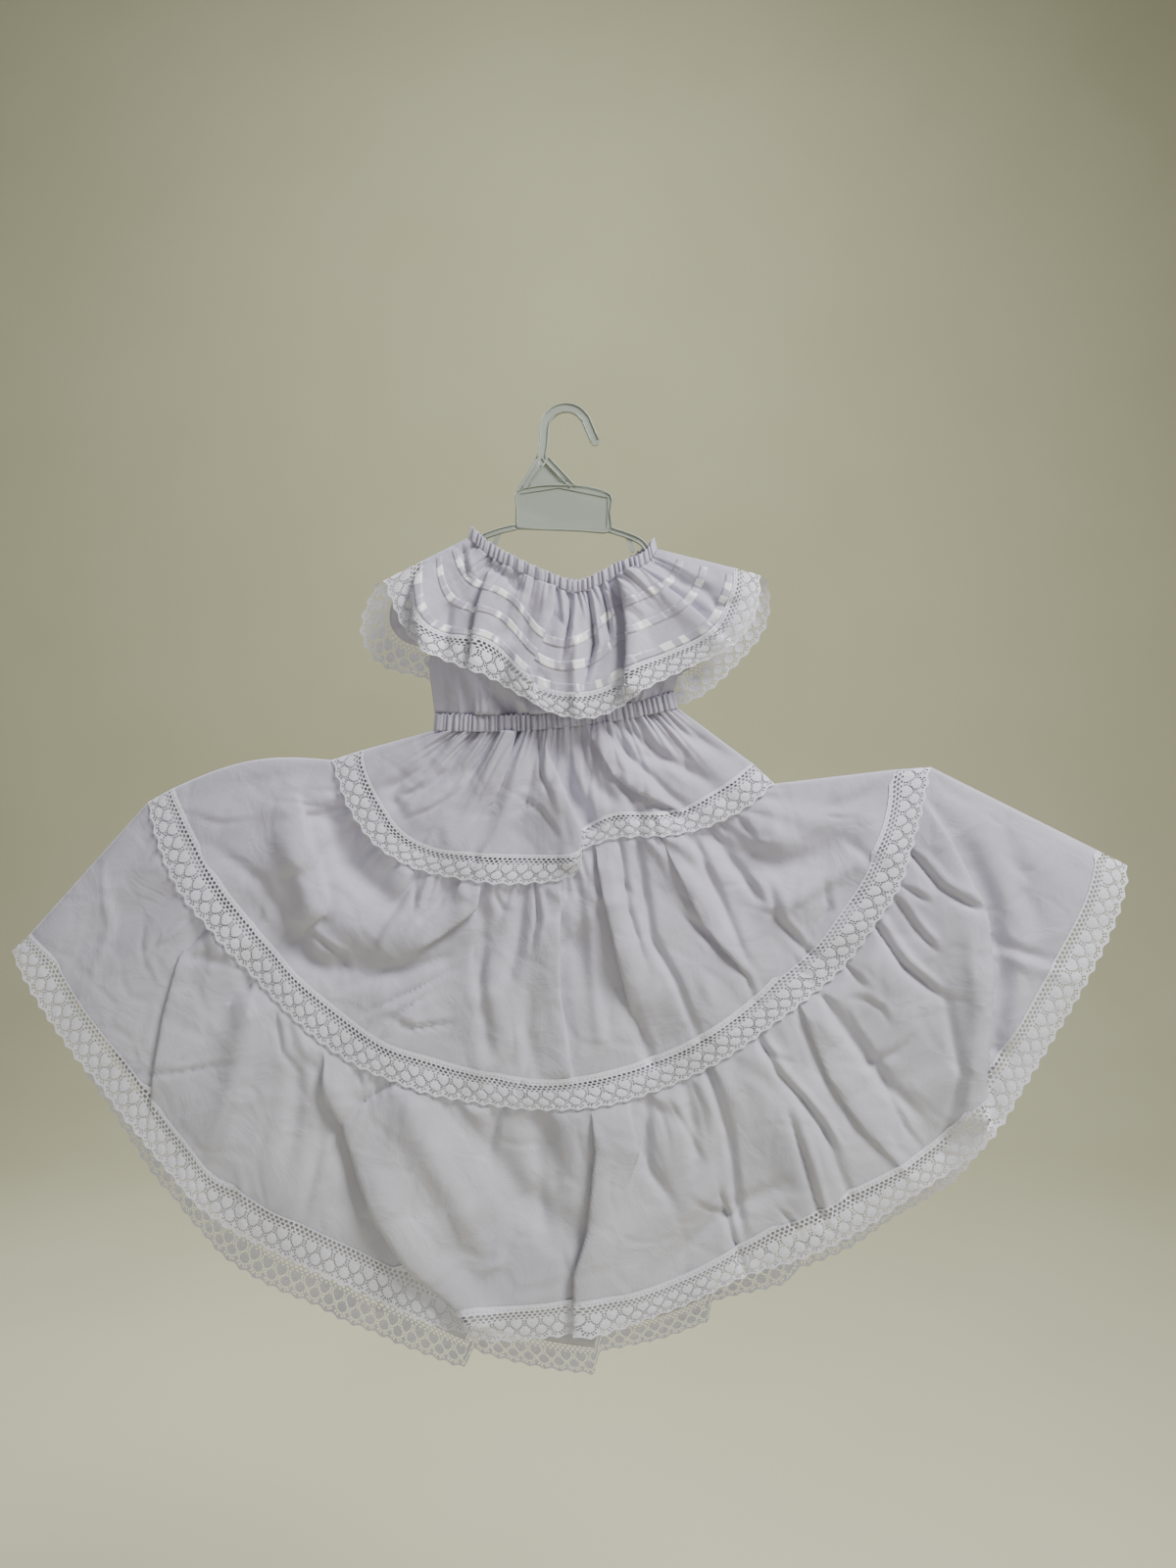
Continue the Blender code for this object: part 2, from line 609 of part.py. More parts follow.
def main():
    """Build the dress and its hanger."""
    for old in list(bpy.data.objects):
        bpy.data.objects.remove(old)
    collection = bpy.data.collections.new(COLLECTION_NAME)
    cutters = bpy.data.collections.new(CUTTER_COLLECTION_NAME)
    bpy.context.scene.collection.children.link(collection)
    bpy.context.scene.collection.children.link(cutters)
    materials = {name: make_material(name) for name in COLORS}
    add_hanger(materials, collection, cutters)
    for side in ("front", "back"):
        add_bodice_and_casings(side, materials, collection)
        add_collar(side, materials, collection)
        add_skirt(side, materials, collection)


main()
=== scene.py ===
"""A small child's white pollera dress on a moulded hanger: cloth, lace, ribbons, studio and camera.

Tables and sizes are in millimetres and become metres when a mesh is made. Across is +X to the
right, down is -Z, and the front of the dress faces -Y. The origin is the underside of the hook's
arch.
"""

import json
import logging
from collections.abc import Callable, Sequence
from dataclasses import dataclass, field
from enum import Enum
from functools import partial
from typing import TypeVar

import bmesh
import bpy
import numpy as np
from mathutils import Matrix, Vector
from mathutils.geometry import delaunay_2d_cdt

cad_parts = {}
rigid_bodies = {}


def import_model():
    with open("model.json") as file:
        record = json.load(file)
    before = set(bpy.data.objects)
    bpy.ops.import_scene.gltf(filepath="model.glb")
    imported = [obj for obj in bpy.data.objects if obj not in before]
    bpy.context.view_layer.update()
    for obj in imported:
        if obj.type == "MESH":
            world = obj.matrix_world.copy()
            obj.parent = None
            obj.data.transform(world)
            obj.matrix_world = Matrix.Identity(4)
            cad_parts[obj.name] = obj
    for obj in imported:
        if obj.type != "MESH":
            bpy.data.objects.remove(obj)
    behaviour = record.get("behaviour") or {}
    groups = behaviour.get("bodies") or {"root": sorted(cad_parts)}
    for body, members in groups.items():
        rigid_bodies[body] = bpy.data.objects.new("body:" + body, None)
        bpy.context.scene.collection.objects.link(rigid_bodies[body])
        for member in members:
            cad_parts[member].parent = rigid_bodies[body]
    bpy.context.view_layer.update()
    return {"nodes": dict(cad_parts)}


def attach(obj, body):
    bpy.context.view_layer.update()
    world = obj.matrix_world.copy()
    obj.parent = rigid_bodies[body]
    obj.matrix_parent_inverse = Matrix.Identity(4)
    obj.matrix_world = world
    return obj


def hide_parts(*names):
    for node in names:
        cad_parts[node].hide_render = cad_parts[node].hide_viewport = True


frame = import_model()

LOG = logging.getLogger("pollera_dress")
MM = 0.001
UV_NAME = "UVMap"
# Length of one band of the wave texture, where its scale is 1
BAND_AT_SCALE_1 = 0.3142
# Points of neighbouring lace repeats that are nearer than this, in metres, become one
MERGE_WITHIN = 0.00002
# How far inside the edges of a UV map the outermost points of an edging are read
INSIDE = 0.0002

Line = tuple[tuple[float, float], ...]
Choice = TypeVar("Choice")


class Side(Enum):
    """The two halves of the dress."""

    FRONT = "front"
    BACK = "back"

    def pick(self, front: Choice, back: Choice) -> Choice:
        """Return the value that is meant for this side."""
        return front if self is Side.FRONT else back

    @property
    def facing(self) -> float:
        """Sign of Y that this side looks along."""
        return self.pick(-1.0, 1.0)

    @property
    def seed(self) -> int:
        """What is added to every seed, so that the back is uneven in its own way."""
        return self.pick(0, 50)


class Fold(Enum):
    """The ways in which cloth creases."""

    TROUGH = "a soft hollow"
    RIDGE = "a soft rise"
    CRISP = "a sharp pinched hollow"
    OVER_LEFT = "the cloth on the left laps over"
    OVER_RIGHT = "the cloth on the right laps over"


@dataclass(frozen=True)
class Crease:
    """One crease.

    Attributes:
        kind: How the cloth creases.
        width: Half width of the crease.
        depth: How far it presses in or stands out.
        ends: Its strength at the first and the last point.
        line: Points of (across, down) from its head to its foot.
    """

    kind: Fold
    width: float
    depth: float
    ends: tuple[float, float]
    line: Line


def creasing(kind: Fold) -> Callable[..., Crease]:
    """Return a function that makes creases of one kind.

    Args:
        kind: How the cloth creases.

    Returns:
        The function, which takes the width, the depth, the strength at both ends and the points.
    """

    def make(width: float, depth: float, first: float, last: float, *line: tuple[float, float]) -> Crease:
        """Make one crease."""
        return Crease(kind, width, depth, (first, last), line)

    return make


trough, ridge, crisp, over_left, over_right = (creasing(kind) for kind in Fold)


# Edges of the front as rows of (across, down), from the wearer's right side to the left
NECK_TOP: Line = (
    (-68, 82), (-53, 95), (-32, 107), (-7, 118), (8, 122), (23, 116), (36, 109), (55, 101), (63, 90),
)
NECK_BOTTOM: Line = (
    (-70, 90), (-56, 103), (-34, 115), (-8, 126), (8, 130), (25, 124), (39, 117), (57, 109), (65, 98),
)
COLLAR_SEAM: Line = (
    (-104, 107), (-107, 126), (-105, 145), (-98, 157), (-82, 163), (-62, 165), (-49, 171), (-35, 185),
    (-22, 198), (-6, 204), (14, 205), (33, 199), (49, 186), (70, 177), (95, 166), (108, 156),
    (116, 140), (121, 125), (122, 112),
)
COLLAR_EDGE: Line = (
    (-131, 121), (-124, 137), (-115, 156), (-103, 171), (-83, 181), (-55, 192), (-30, 206), (-7, 218),
    (17, 221), (37, 214), (57, 200), (87, 185), (114, 172), (131, 154), (137, 137), (139, 117),
)
WAIST_TOP: Line = ((-94, 216), (-54, 217), (-12, 216), (43, 209), (77, 200))
WAIST_BOTTOM: Line = ((-95, 228), (-54, 229), (-12, 227), (43, 220), (80, 212))
SEAM_1: Line = (
    (-146, 242), (-145, 253), (-136, 274), (-119, 299), (-98, 312), (-72, 316), (-32, 315), (5, 311),
    (19, 301), (36, 292), (61, 289), (83, 285), (100, 276), (119, 264), (134, 252),
)
LACE_1_EDGE: Line = (
    (-168, 249), (-155, 282), (-136, 308), (-109, 325), (-83, 332), (-58, 335), (-32, 334), (-2, 328),
    (17, 317), (35, 309), (60, 305), (84, 301), (103, 296), (129, 283), (149, 266),
)
SEAM_2: Line = (
    (-283, 270), (-274, 288), (-247, 334), (-210, 381), (-183, 409), (-137, 444), (-98, 460), (-59, 470),
    (-20, 476), (19, 473), (58, 463), (92, 447), (131, 421), (162, 390), (183, 369), (209, 329),
    (223, 304), (231, 280), (233, 256),
)
LACE_2_EDGE: Line = (
    (-299, 279), (-290, 307), (-276, 338), (-253, 366), (-228, 395), (-196, 426), (-165, 453), (-124, 473),
    (-85, 486), (-46, 492), (-7, 494), (32, 490), (71, 479), (110, 460), (150, 432), (192, 400),
    (219, 365), (237, 336), (248, 302), (255, 277), (261, 254),
)
SEAM_3: Line = (
    (-385, 375), (-371, 386), (-352, 405), (-311, 455), (-284, 498), (-266, 519), (-245, 543), (-212, 555),
    (-167, 573), (-122, 600), (-99, 613), (-71, 627), (-32, 629), (10, 627), (64, 618), (114, 594),
    (162, 567), (201, 551), (231, 536), (258, 519), (273, 505), (290, 471), (300, 445), (318, 402),
    (339, 368), (359, 337), (383, 315),
)
HEM_EDGE: Line = (
    (-396, 385), (-370, 428), (-318, 492), (-293, 521), (-266, 550), (-248, 568), (-207, 591), (-167, 609),
    (-122, 629), (-77, 646), (-33, 651), (10, 648), (32, 645), (75, 631), (118, 611), (163, 597),
    (205, 578), (239, 555), (277, 532), (304, 505), (320, 480), (338, 452), (361, 414), (386, 370),
    (398, 340), (401, 324),
)
BACK_NECK_TOP: Line = ((-68, 82), (-50, 96), (-28, 109), (0, 118), (24, 116), (46, 103), (63, 90))
BACK_NECK_BOTTOM: Line = ((-70, 90), (-52, 104), (-29, 117), (0, 126), (26, 124), (48, 111), (65, 98))
BACK_COLLAR_SEAM: Line = (
    (-104, 107), (-121, 124), (-128, 146), (-120, 161), (-100, 169), (-60, 188), (0, 205), (60, 193),
    (88, 183), (108, 165), (124, 145), (128, 125), (122, 112),
)
BACK_COLLAR_EDGE: Line = (
    (-139, 124), (-148, 143), (-149, 162), (-134, 181), (-104, 190), (-62, 208), (0, 226), (62, 214),
    (98, 203), (126, 178), (143, 157), (148, 138), (145, 119),
)
SKIRT_EDGES: tuple[Line, ...] = (WAIST_BOTTOM, SEAM_1, LACE_1_EDGE, SEAM_2, LACE_2_EDGE, SEAM_3, HEM_EDGE)
# Half depths at the middle of each skirt edge, and the extra length of the back there
SKIRT_DEPTHS = {
    Side.FRONT: (8.0, 15.0, 16.0, 21.0, 22.0, 27.0, 28.0),
    Side.BACK: (6.5, 11.0, 11.5, 14.0, 14.5, 16.0, 16.0),
}
BACK_DROPS = (0.0, 2.0, 2.0, 8.0, 8.0, 38.0, 38.0)
# Where the back hem hangs lower than its even curve: (across, extra length), with steps at its folds
BACK_HEM_STEPS: Line = (
    (-385, 0), (-350, 8), (-310, 18), (-270, 20), (-200, 17), (-160, 15), (-73, 10), (-70, -5), (21, 13),
    (24, -5), (103, 4), (106, -8), (163, -2), (166, -8), (240, 0), (330, 6),
)
NECK_DEPTH = {Side.FRONT: 9.0, Side.BACK: 7.5}
COLLAR_DEPTH = {Side.FRONT: 20.0, Side.BACK: 14.0}
COLLAR_LACE_DEPTH = {Side.FRONT: 21.5, Side.BACK: 15.0}
WAIST_DEPTH = {Side.FRONT: 8.0, Side.BACK: 6.5}
SIDE_HALF_GAP = 0.45
# The least that cloth stands off the middle plane, and how fast its folds set in from the sides
LEAST_STAND = 0.6 * SIDE_HALF_GAP
SIDE_DAMPING = 1.5
# The five rows of a lace strip on its tile, from the heading at 0 to the edge at 1
LACE_DOWN = (0.0, 0.12, 0.43, 0.74, 1.0)

# Where the lower front of tier 1 laps over itself: (across, extra length)
TIER_1_STEP: Line = ((-70, 0), (6, 6), (11, -7), (70, 0))
# How far the top of tier 2 arches up beside the lace of tier 1, on the wearer's right
TIER_2_ARCH = 10.0

# Creases of the front, seen from the front, placed one by one
TIER_1_CREASES = (
    over_left(4, 6, 0.3, 1, (-12, 245), (-6, 260), (0, 276), (10, 297), (10, 320)),
    crisp(2.5, 3, 1, 0.2, (-20, 233), (-18, 259), (-10, 278)),
    over_left(3.5, 3.5, 1, 0.1, (-37, 232), (-43, 256), (-52, 279), (-59, 284)),
    trough(5, 4.5, 1, 0.2, (-65, 231), (-84, 257), (-99, 269), (-119, 278)),
    trough(5, 4, 1, 0.2, (-89, 239), (-103, 256), (-120, 266), (-134, 271)),
    crisp(2.5, 2, 0.3, 0.3, (-38, 272), (-18, 284), (-6, 302)),
    over_right(3.5, 4, 1, 0.2, (18, 231), (35, 260), (52, 272), (80, 285)),
    trough(5, 4, 1, 0.2, (45, 228), (74, 250), (101, 264)),
    trough(4, 3.5, 1, 0.2, (30, 229), (54, 255), (74, 274), (92, 288)),
    trough(5, 3.5, 1, 0.2, (65, 217), (91, 233), (118, 245)),
    trough(6, 6, 0.4, 0.8, (-3, 239), (3, 266), (16, 292)),
    trough(4, 3, 1, 0, (-52, 231), (-61, 249), (-73, 266)),
    ridge(8, 3, 0.3, 0.3, (-28, 239), (-39, 273), (-52, 307)),
    trough(6, 3, 0.4, 0.2, (-117, 259), (-124, 276), (-112, 293)),
    crisp(2.5, 2.5, 0.4, 0.2, (-110, 290), (-95, 284), (-76, 271)),
    trough(4, 3, 0.3, 0.3, (50, 286), (63, 281), (84, 292)),
    trough(5, 3.5, 0.2, 0.8, (43, 266), (53, 290), (51, 303)),
    trough(6, 3, 1, 0.1, (9, 232), (22, 266), (43, 285)),
)
TIER_2_CREASES = (
    over_left(3.5, 3.5, 1, 0.9, (-3, 330), (-5, 364), (-5, 414), (1, 446), (3, 464)),
    over_right(4, 5, 1, 0.1, (22, 315), (27, 344), (34, 373), (46, 426), (60, 448)),
    trough(4, 4, 1, 0.3, (50, 308), (57, 351), (60, 374), (77, 403), (86, 426), (95, 447)),
    over_left(4, 4.5, 1, 0.1, (-59, 337), (-64, 355), (-86, 371), (-114, 390)),
    trough(6, 3.5, 0.7, 0.7, (-57, 358), (-61, 402), (-54, 453)),
    trough(5, 3, 0.6, 0.1, (-87, 390), (-128, 399), (-167, 414)),
    crisp(3, 3, 0.5, 0.1, (-84, 399), (-114, 414), (-143, 428)),
    crisp(3, 2.5, 0.4, 0.1, (-93, 410), (-120, 429), (-134, 443)),
    trough(10, 7, 1, 0.3, (-168, 290), (-158, 320), (-141, 337), (-120, 351)),
    over_left(4, 4, 0.4, 0.4, (-188, 279), (-176, 313), (-167, 344), (-169, 358), (-183, 368)),
    ridge(12, 3.5, 0.4, 0.4, (-209, 286), (-185, 334), (-175, 375), (-158, 395)),
    crisp(3, 3, 0.5, 0.2, (-184, 368), (-158, 387), (-153, 402)),
    trough(6, 3, 0.4, 0.3, (-246, 313), (-216, 334), (-195, 368), (-168, 402)),
    crisp(3, 2, 0.4, 0.3, (-273, 286), (-246, 294), (-222, 292)),
    trough(8, 3.5, 0.4, 0.2, (-270, 279), (-229, 266), (-175, 256)),
    over_right(3.5, 3.5, 1, 0.2, (66, 301), (84, 337), (97, 364), (127, 401)),
    crisp(3, 3.5, 0.6, 0.3, (87, 362), (107, 381), (127, 402), (132, 417)),
    trough(4, 3.5, 1, 0.2, (92, 308), (112, 354), (129, 397)),
    trough(5, 5, 1, 0.1, (101, 297), (126, 331), (142, 353)),
    trough(14, 7, 0.7, 0.3, (114, 292), (132, 315), (152, 326), (179, 316), (206, 300)),
    crisp(3.5, 4, 0.6, 0.6, (146, 344), (149, 362), (170, 384)),
    crisp(3, 3, 0.4, 0.6, (183, 338), (186, 354), (173, 373)),
    trough(5, 2.5, 0.4, 0.4, (198, 305), (219, 324)),
    ridge(9, 3.5, 0.5, 0.3, (152, 354), (179, 334), (220, 313)),
    ridge(17, 6, 0.6, 0.2, (-202, 252), (-192, 296), (-175, 352), (-135, 372), (-100, 368)),
    trough(14, 6, 0.5, 0.1, (-160, 264), (-151, 307), (-122, 343)),
    trough(11, 5, 0.2, 0.2, (-228, 350), (-180, 392), (-118, 398), (-78, 378)),
    trough(6, 2.5, 0.4, 0.2, (172, 286), (199, 279), (232, 266)),
    trough(6, 3.5, 1, 0.3, (-29, 337), (-33, 375), (-42, 409)),
    crisp(3, 3, 1, 0, (-22, 334), (-20, 361), (-25, 385)),
    trough(4, 3, 1, 0, (-83, 334), (-90, 351), (-103, 364)),
    ridge(6, 3, 0.5, 0.5, (16, 334), (18, 388), (24, 443)),
    trough(5, 3, 0.3, 0.9, (43, 409), (53, 436), (59, 460)),
    crisp(3, 3, 1, 0.2, (39, 312), (44, 354), (56, 392)),
    crisp(3, 3, 0.2, 0.6, (-124, 429), (-107, 437), (-86, 435)),
    trough(7, 3, 0.3, 0.6, (-25, 409), (-29, 436), (-22, 463)),
)
TIER_3_CREASES = (
    over_right(
        6, 9, 0.5, 1, (-169, 455), (-168, 481), (-154, 505), (-143, 538), (-128, 570), (-105, 602),
        (-73, 628), (-66, 641),
    ),
    over_right(4, 2.5, 0.9, 0.2, (-252, 367), (-271, 387), (-282, 428), (-289, 473), (-293, 504)),
    over_right(5, 5, 0.8, 1, (18, 494), (22, 520), (16, 579), (7, 605), (6, 655)),
    trough(5, 4, 0.9, 0.1, (57, 483), (57, 511), (58, 534), (77, 562)),
    over_left(4, 2.5, 0.5, 0, (43, 483), (50, 524), (43, 548)),
    trough(4, 4, 1, 0.5, (99, 463), (114, 511), (117, 534), (124, 592)),
    crisp(3, 4, 1, 0.2, (131, 436), (149, 469), (177, 500), (188, 521)),
    over_right(4, 3.5, 1, 0.2, (160, 410), (175, 448), (184, 470), (206, 504), (232, 532)),
    trough(6, 5, 0.9, 0.1, (175, 409), (201, 443), (226, 477), (250, 500)),
    crisp(3, 3, 1, 0, (191, 386), (211, 410)),
    crisp(3.5, 6, 1, 0.1, (216, 362), (237, 394), (265, 417)),
    crisp(3.5, 6, 1, 0.3, (241, 311), (263, 339), (293, 359)),
    crisp(3, 3, 1, 0, (236, 337), (256, 350)),
    crisp(3, 4, 1, 0, (235, 351), (247, 369), (261, 385)),
    over_left(
        6, 9, 0.7, 1, (251, 274), (269, 301), (280, 325), (294, 358), (296, 397), (293, 440),
        (290, 473), (292, 497),
    ),
    trough(4, 3, 0.4, 0.9, (266, 414), (275, 469), (263, 521)),
    trough(8, 7, 0.2, 0.8, (281, 300), (302, 350), (309, 400), (303, 452)),
    ridge(5, 2.5, 0.3, 0.6, (281, 375), (286, 429), (277, 483)),
    crisp(3.5, 5, 0.5, 0.8, (157, 500), (166, 528), (177, 565)),
    crisp(3, 3, 0.7, 0.2, (166, 488), (187, 519)),
    trough(4, 3, 0.6, 0.7, (180, 506), (197, 551)),
    crisp(3, 4, 0.2, 1, (107, 548), (112, 566), (122, 599)),
    trough(9, 4, 0.3, 0.3, (-361, 351), (-326, 312), (-304, 286)),
    ridge(5, 2.5, 0.6, 0.2, (-305, 284), (-332, 325), (-323, 367), (-335, 402)),
    crisp(2.5, 1.6, 0.5, 0.3, (-308, 470), (-270, 468), (-231, 461)),
    crisp(3, 3.5, 1, 0, (-251, 365), (-268, 387)),
    crisp(3, 2.5, 1, 0, (-221, 407), (-239, 421)),
    crisp(3, 4, 1, 0.4, (-122, 475), (-143, 490), (-156, 507)),
    trough(16, 6, 0.3, 0.5, (-81, 490), (-52, 524), (-32, 555), (10, 580)),
    ridge(14, 4, 0.4, 0.5, (-107, 490), (-86, 538), (-52, 599)),
    trough(8, 3.5, 0.8, 0.2, (-22, 494), (-16, 517), (-20, 538)),
    trough(8, 3, 0.4, 0.1, (-188, 443), (-188, 490), (-195, 538)),
    trough(5, 2, 0.2, 0.4, (-168, 497), (-176, 538), (-184, 572)),
    ridge(12, 3, 0.5, 0.2, (-222, 422), (-233, 483), (-243, 524)),
    trough(7, 3, 0.3, 0.6, (77, 599), (104, 572), (152, 545)),
    ridge(10, 3, 0.3, 0.3, (43, 619), (84, 565), (114, 531)),
    trough(10, 4, 0.6, 0.2, (308, 293), (325, 334), (335, 375)),
    trough(5, 3, 0.5, 0.3, (300, 375), (322, 385), (345, 392)),
    trough(6, 3, 0.8, 0.2, (84, 478), (89, 504), (92, 538)),
    trough(6, 3, 0.9, 0.2, (-49, 497), (-52, 514), (-58, 531)),
)
COLLAR_CREASES = (
    over_right(3.5, 6, 0.4, 1, (-88, 97), (-100, 107), (-106, 119), (-108, 134), (-105, 156), (-101, 176)),
    over_right(3, 4.5, 0.4, 1, (-54, 113), (-57, 123), (-62, 146), (-65, 164), (-67, 184)),
    crisp(2.5, 2.5, 1, 0, (-73, 103), (-70, 118), (-65, 122)),
    trough(4, 3, 1, 0.2, (-50, 114), (-39, 122), (-31, 130)),
    over_left(3.5, 4, 0.5, 0.7, (-7, 122), (-10, 147), (-18, 167), (-25, 184), (-22, 201)),
    crisp(2.2, 4, 1, 0.3, (3, 124), (3, 147), (-2, 174)),
    crisp(2.2, 4.5, 1, 0.3, (14, 124), (18, 147), (20, 167), (14, 191)),
    crisp(2.2, 4, 1, 0.2, (24, 122), (29, 143), (31, 164)),
    over_right(3.5, 7, 0.9, 1, (36, 116), (40, 130), (43, 154), (43, 176), (40, 198)),
    over_left(3.5, 4.5, 1, 0.8, (53, 116), (77, 133), (95, 149), (112, 165)),
    trough(6, 4, 0.8, 0.4, (65, 109), (84, 123), (104, 130)),
    trough(4, 3, 0.3, 0.4, (99, 130), (107, 140), (124, 138)),
    trough(8, 3, 0.3, 0.4, (-52, 164), (-32, 157), (-20, 140)),
    ridge(5, 2.5, 0.2, 1, (9, 157), (6, 184), (7, 211)),
    trough(5, 3, 0.2, 1, (-83, 137), (-85, 157), (-86, 171)),
    trough(5, 2.5, 0.2, 1, (-39, 171), (-44, 191), (-47, 198)),
)
BODICE_CREASES = (
    over_right(3.5, 3, 0.3, 1, (-79, 176), (-72, 194), (-66, 214)),
    trough(4.5, 4, 0.4, 1, (-63, 186), (-52, 202), (-38, 217)),
    trough(4, 3, 0.3, 1, (-90, 176), (-88, 198), (-86, 216)),
    over_right(3, 3, 0.3, 1, (-47, 196), (-38, 207), (-26, 218)),
    trough(4, 3, 0.3, 1, (62, 190), (69, 202), (78, 213)),
    trough(4, 3, 0.3, 1, (0, 180), (3, 200), (2, 218)),
)
# Creases of the back, of the same kinds, seen from the front through the dress
BACK_BODICE_CREASES = (
    trough(4.5, 3.5, 0.4, 1, (-60, 170), (-54, 192), (-50, 216)),
    over_left(3.5, 3, 0.3, 1, (-14, 176), (-8, 196), (-6, 217)),
    trough(4, 3, 0.3, 1, (24, 172), (34, 194), (38, 216)),
    trough(4, 3, 0.3, 1, (72, 180), (68, 198), (62, 214)),
)
BACK_TIER_1_CREASES = (
    trough(6, 3, 1, 0.2, (-60, 232), (-78, 262), (-98, 290)),
    crisp(3, 2.5, 1, 0.1, (-28, 231), (-36, 262), (-40, 292)),
    trough(5, 3, 1, 0.2, (8, 230), (14, 262), (22, 296)),
    ridge(9, 2.5, 0.4, 0.5, (-10, 240), (-12, 270), (-14, 306)),
    crisp(3, 2.5, 1, 0.1, (45, 224), (68, 250), (92, 272)),
)
BACK_TIER_2_CREASES = (
    over_left(4, 4, 1, 0.4, (-45, 330), (-58, 380), (-66, 430), (-70, 466)),
    trough(6, 3.5, 1, 0.2, (10, 322), (14, 368), (10, 420)),
    crisp(3, 3, 1, 0.1, (70, 304), (96, 344), (120, 382)),
    over_right(4, 4, 1, 0.3, (38, 308), (52, 360), (60, 410), (72, 448)),
    trough(12, 4, 0.6, 0.3, (-150, 300), (-178, 336), (-200, 372)),
    crisp(3, 2.5, 0.7, 0.1, (-110, 330), (-132, 372), (-150, 404)),
    trough(12, 4, 0.6, 0.3, (130, 290), (165, 316), (196, 330)),
    ridge(10, 3, 0.4, 0.5, (-20, 350), (-24, 410), (-22, 460)),
)
BACK_TIER_3_CREASES = (
    over_right(6, 6, 0.7, 1, (-120, 480), (-134, 530), (-140, 580), (-138, 640)),
    over_left(6, 6, 0.8, 1, (140, 450), (168, 500), (182, 545), (186, 590)),
    trough(10, 4, 0.9, 0.3, (-30, 500), (-36, 550), (-40, 600)),
    trough(7, 4, 1, 0.4, (40, 496), (50, 550), (58, 600)),
    crisp(3.5, 4, 1, 0.2, (92, 478), (112, 520), (126, 556)),
    crisp(3.5, 4, 1, 0.2, (-190, 440), (-214, 476), (-236, 506)),
    ridge(14, 4, 0.4, 0.6, (-240, 400), (-280, 440), (-310, 480)),
    trough(12, 4, 0.6, 0.4, (-290, 330), (-330, 370), (-355, 400)),
    trough(9, 4, 1, 0.4, (210, 390), (246, 430), (276, 470)),
    crisp(3.5, 4, 1, 0.3, (236, 340), (270, 372), (300, 398)),
    ridge(10, 3, 0.4, 0.6, (6, 510), (4, 570), (0, 630)),
)
BACK_COLLAR_CREASES = (
    over_left(4, 4, 0.5, 1, (-40, 112), (-52, 150), (-58, 200)),
    trough(4, 3, 1, 0.3, (-8, 122), (-10, 150), (-12, 190)),
    trough(4, 3, 1, 0.3, (22, 122), (30, 152), (36, 184)),
    over_right(4, 4, 0.5, 1, (52, 108), (72, 140), (84, 190)),
    trough(6, 3, 0.8, 0.5, (-66, 100), (-88, 130), (-104, 160)),
)


def linear(hex_color: str, alpha: float = 1.0) -> tuple[float, float, float, float]:
    """Turn an sRGB hex colour into linear values.

    Args:
        hex_color: Six hex digits, with or without a leading hash.
        alpha: The fourth value.

    Returns:
        Red, green, blue and alpha.
    """
    digits = hex_color.lstrip("#")
    values = []
    for start in (0, 2, 4):
        value = int(digits[start:start + 2], 16) / 255.0
        values.append(value / 12.92 if value <= 0.04045 else ((value + 0.055) / 1.055) ** 2.4)
    return (*values, alpha)


def add_node(
    tree: bpy.types.NodeTree,
    kind: str,
    settings: dict[str, object] | None = None,
    values: dict[int | str, object] | None = None,
    links: dict[int | str, bpy.types.NodeSocket] | None = None,
) -> bpy.types.Node:
    """Add a node with its settings, socket values and incoming links.

    Args:
        tree: The tree that gets the node.
        kind: The node's type name.
        settings: Attributes of the node.
        values: Input values by socket name or number.
        links: Sockets that feed this node's inputs, by socket name or number.

    Returns:
        The new node.
    """
    node = tree.nodes.new(kind)
    for name, value in (settings or {}).items():
        setattr(node, name, value)
    for key, value in (values or {}).items():
        node.inputs[key].default_value = value
    for key, source in (links or {}).items():
        tree.links.new(source, node.inputs[key])
    return node


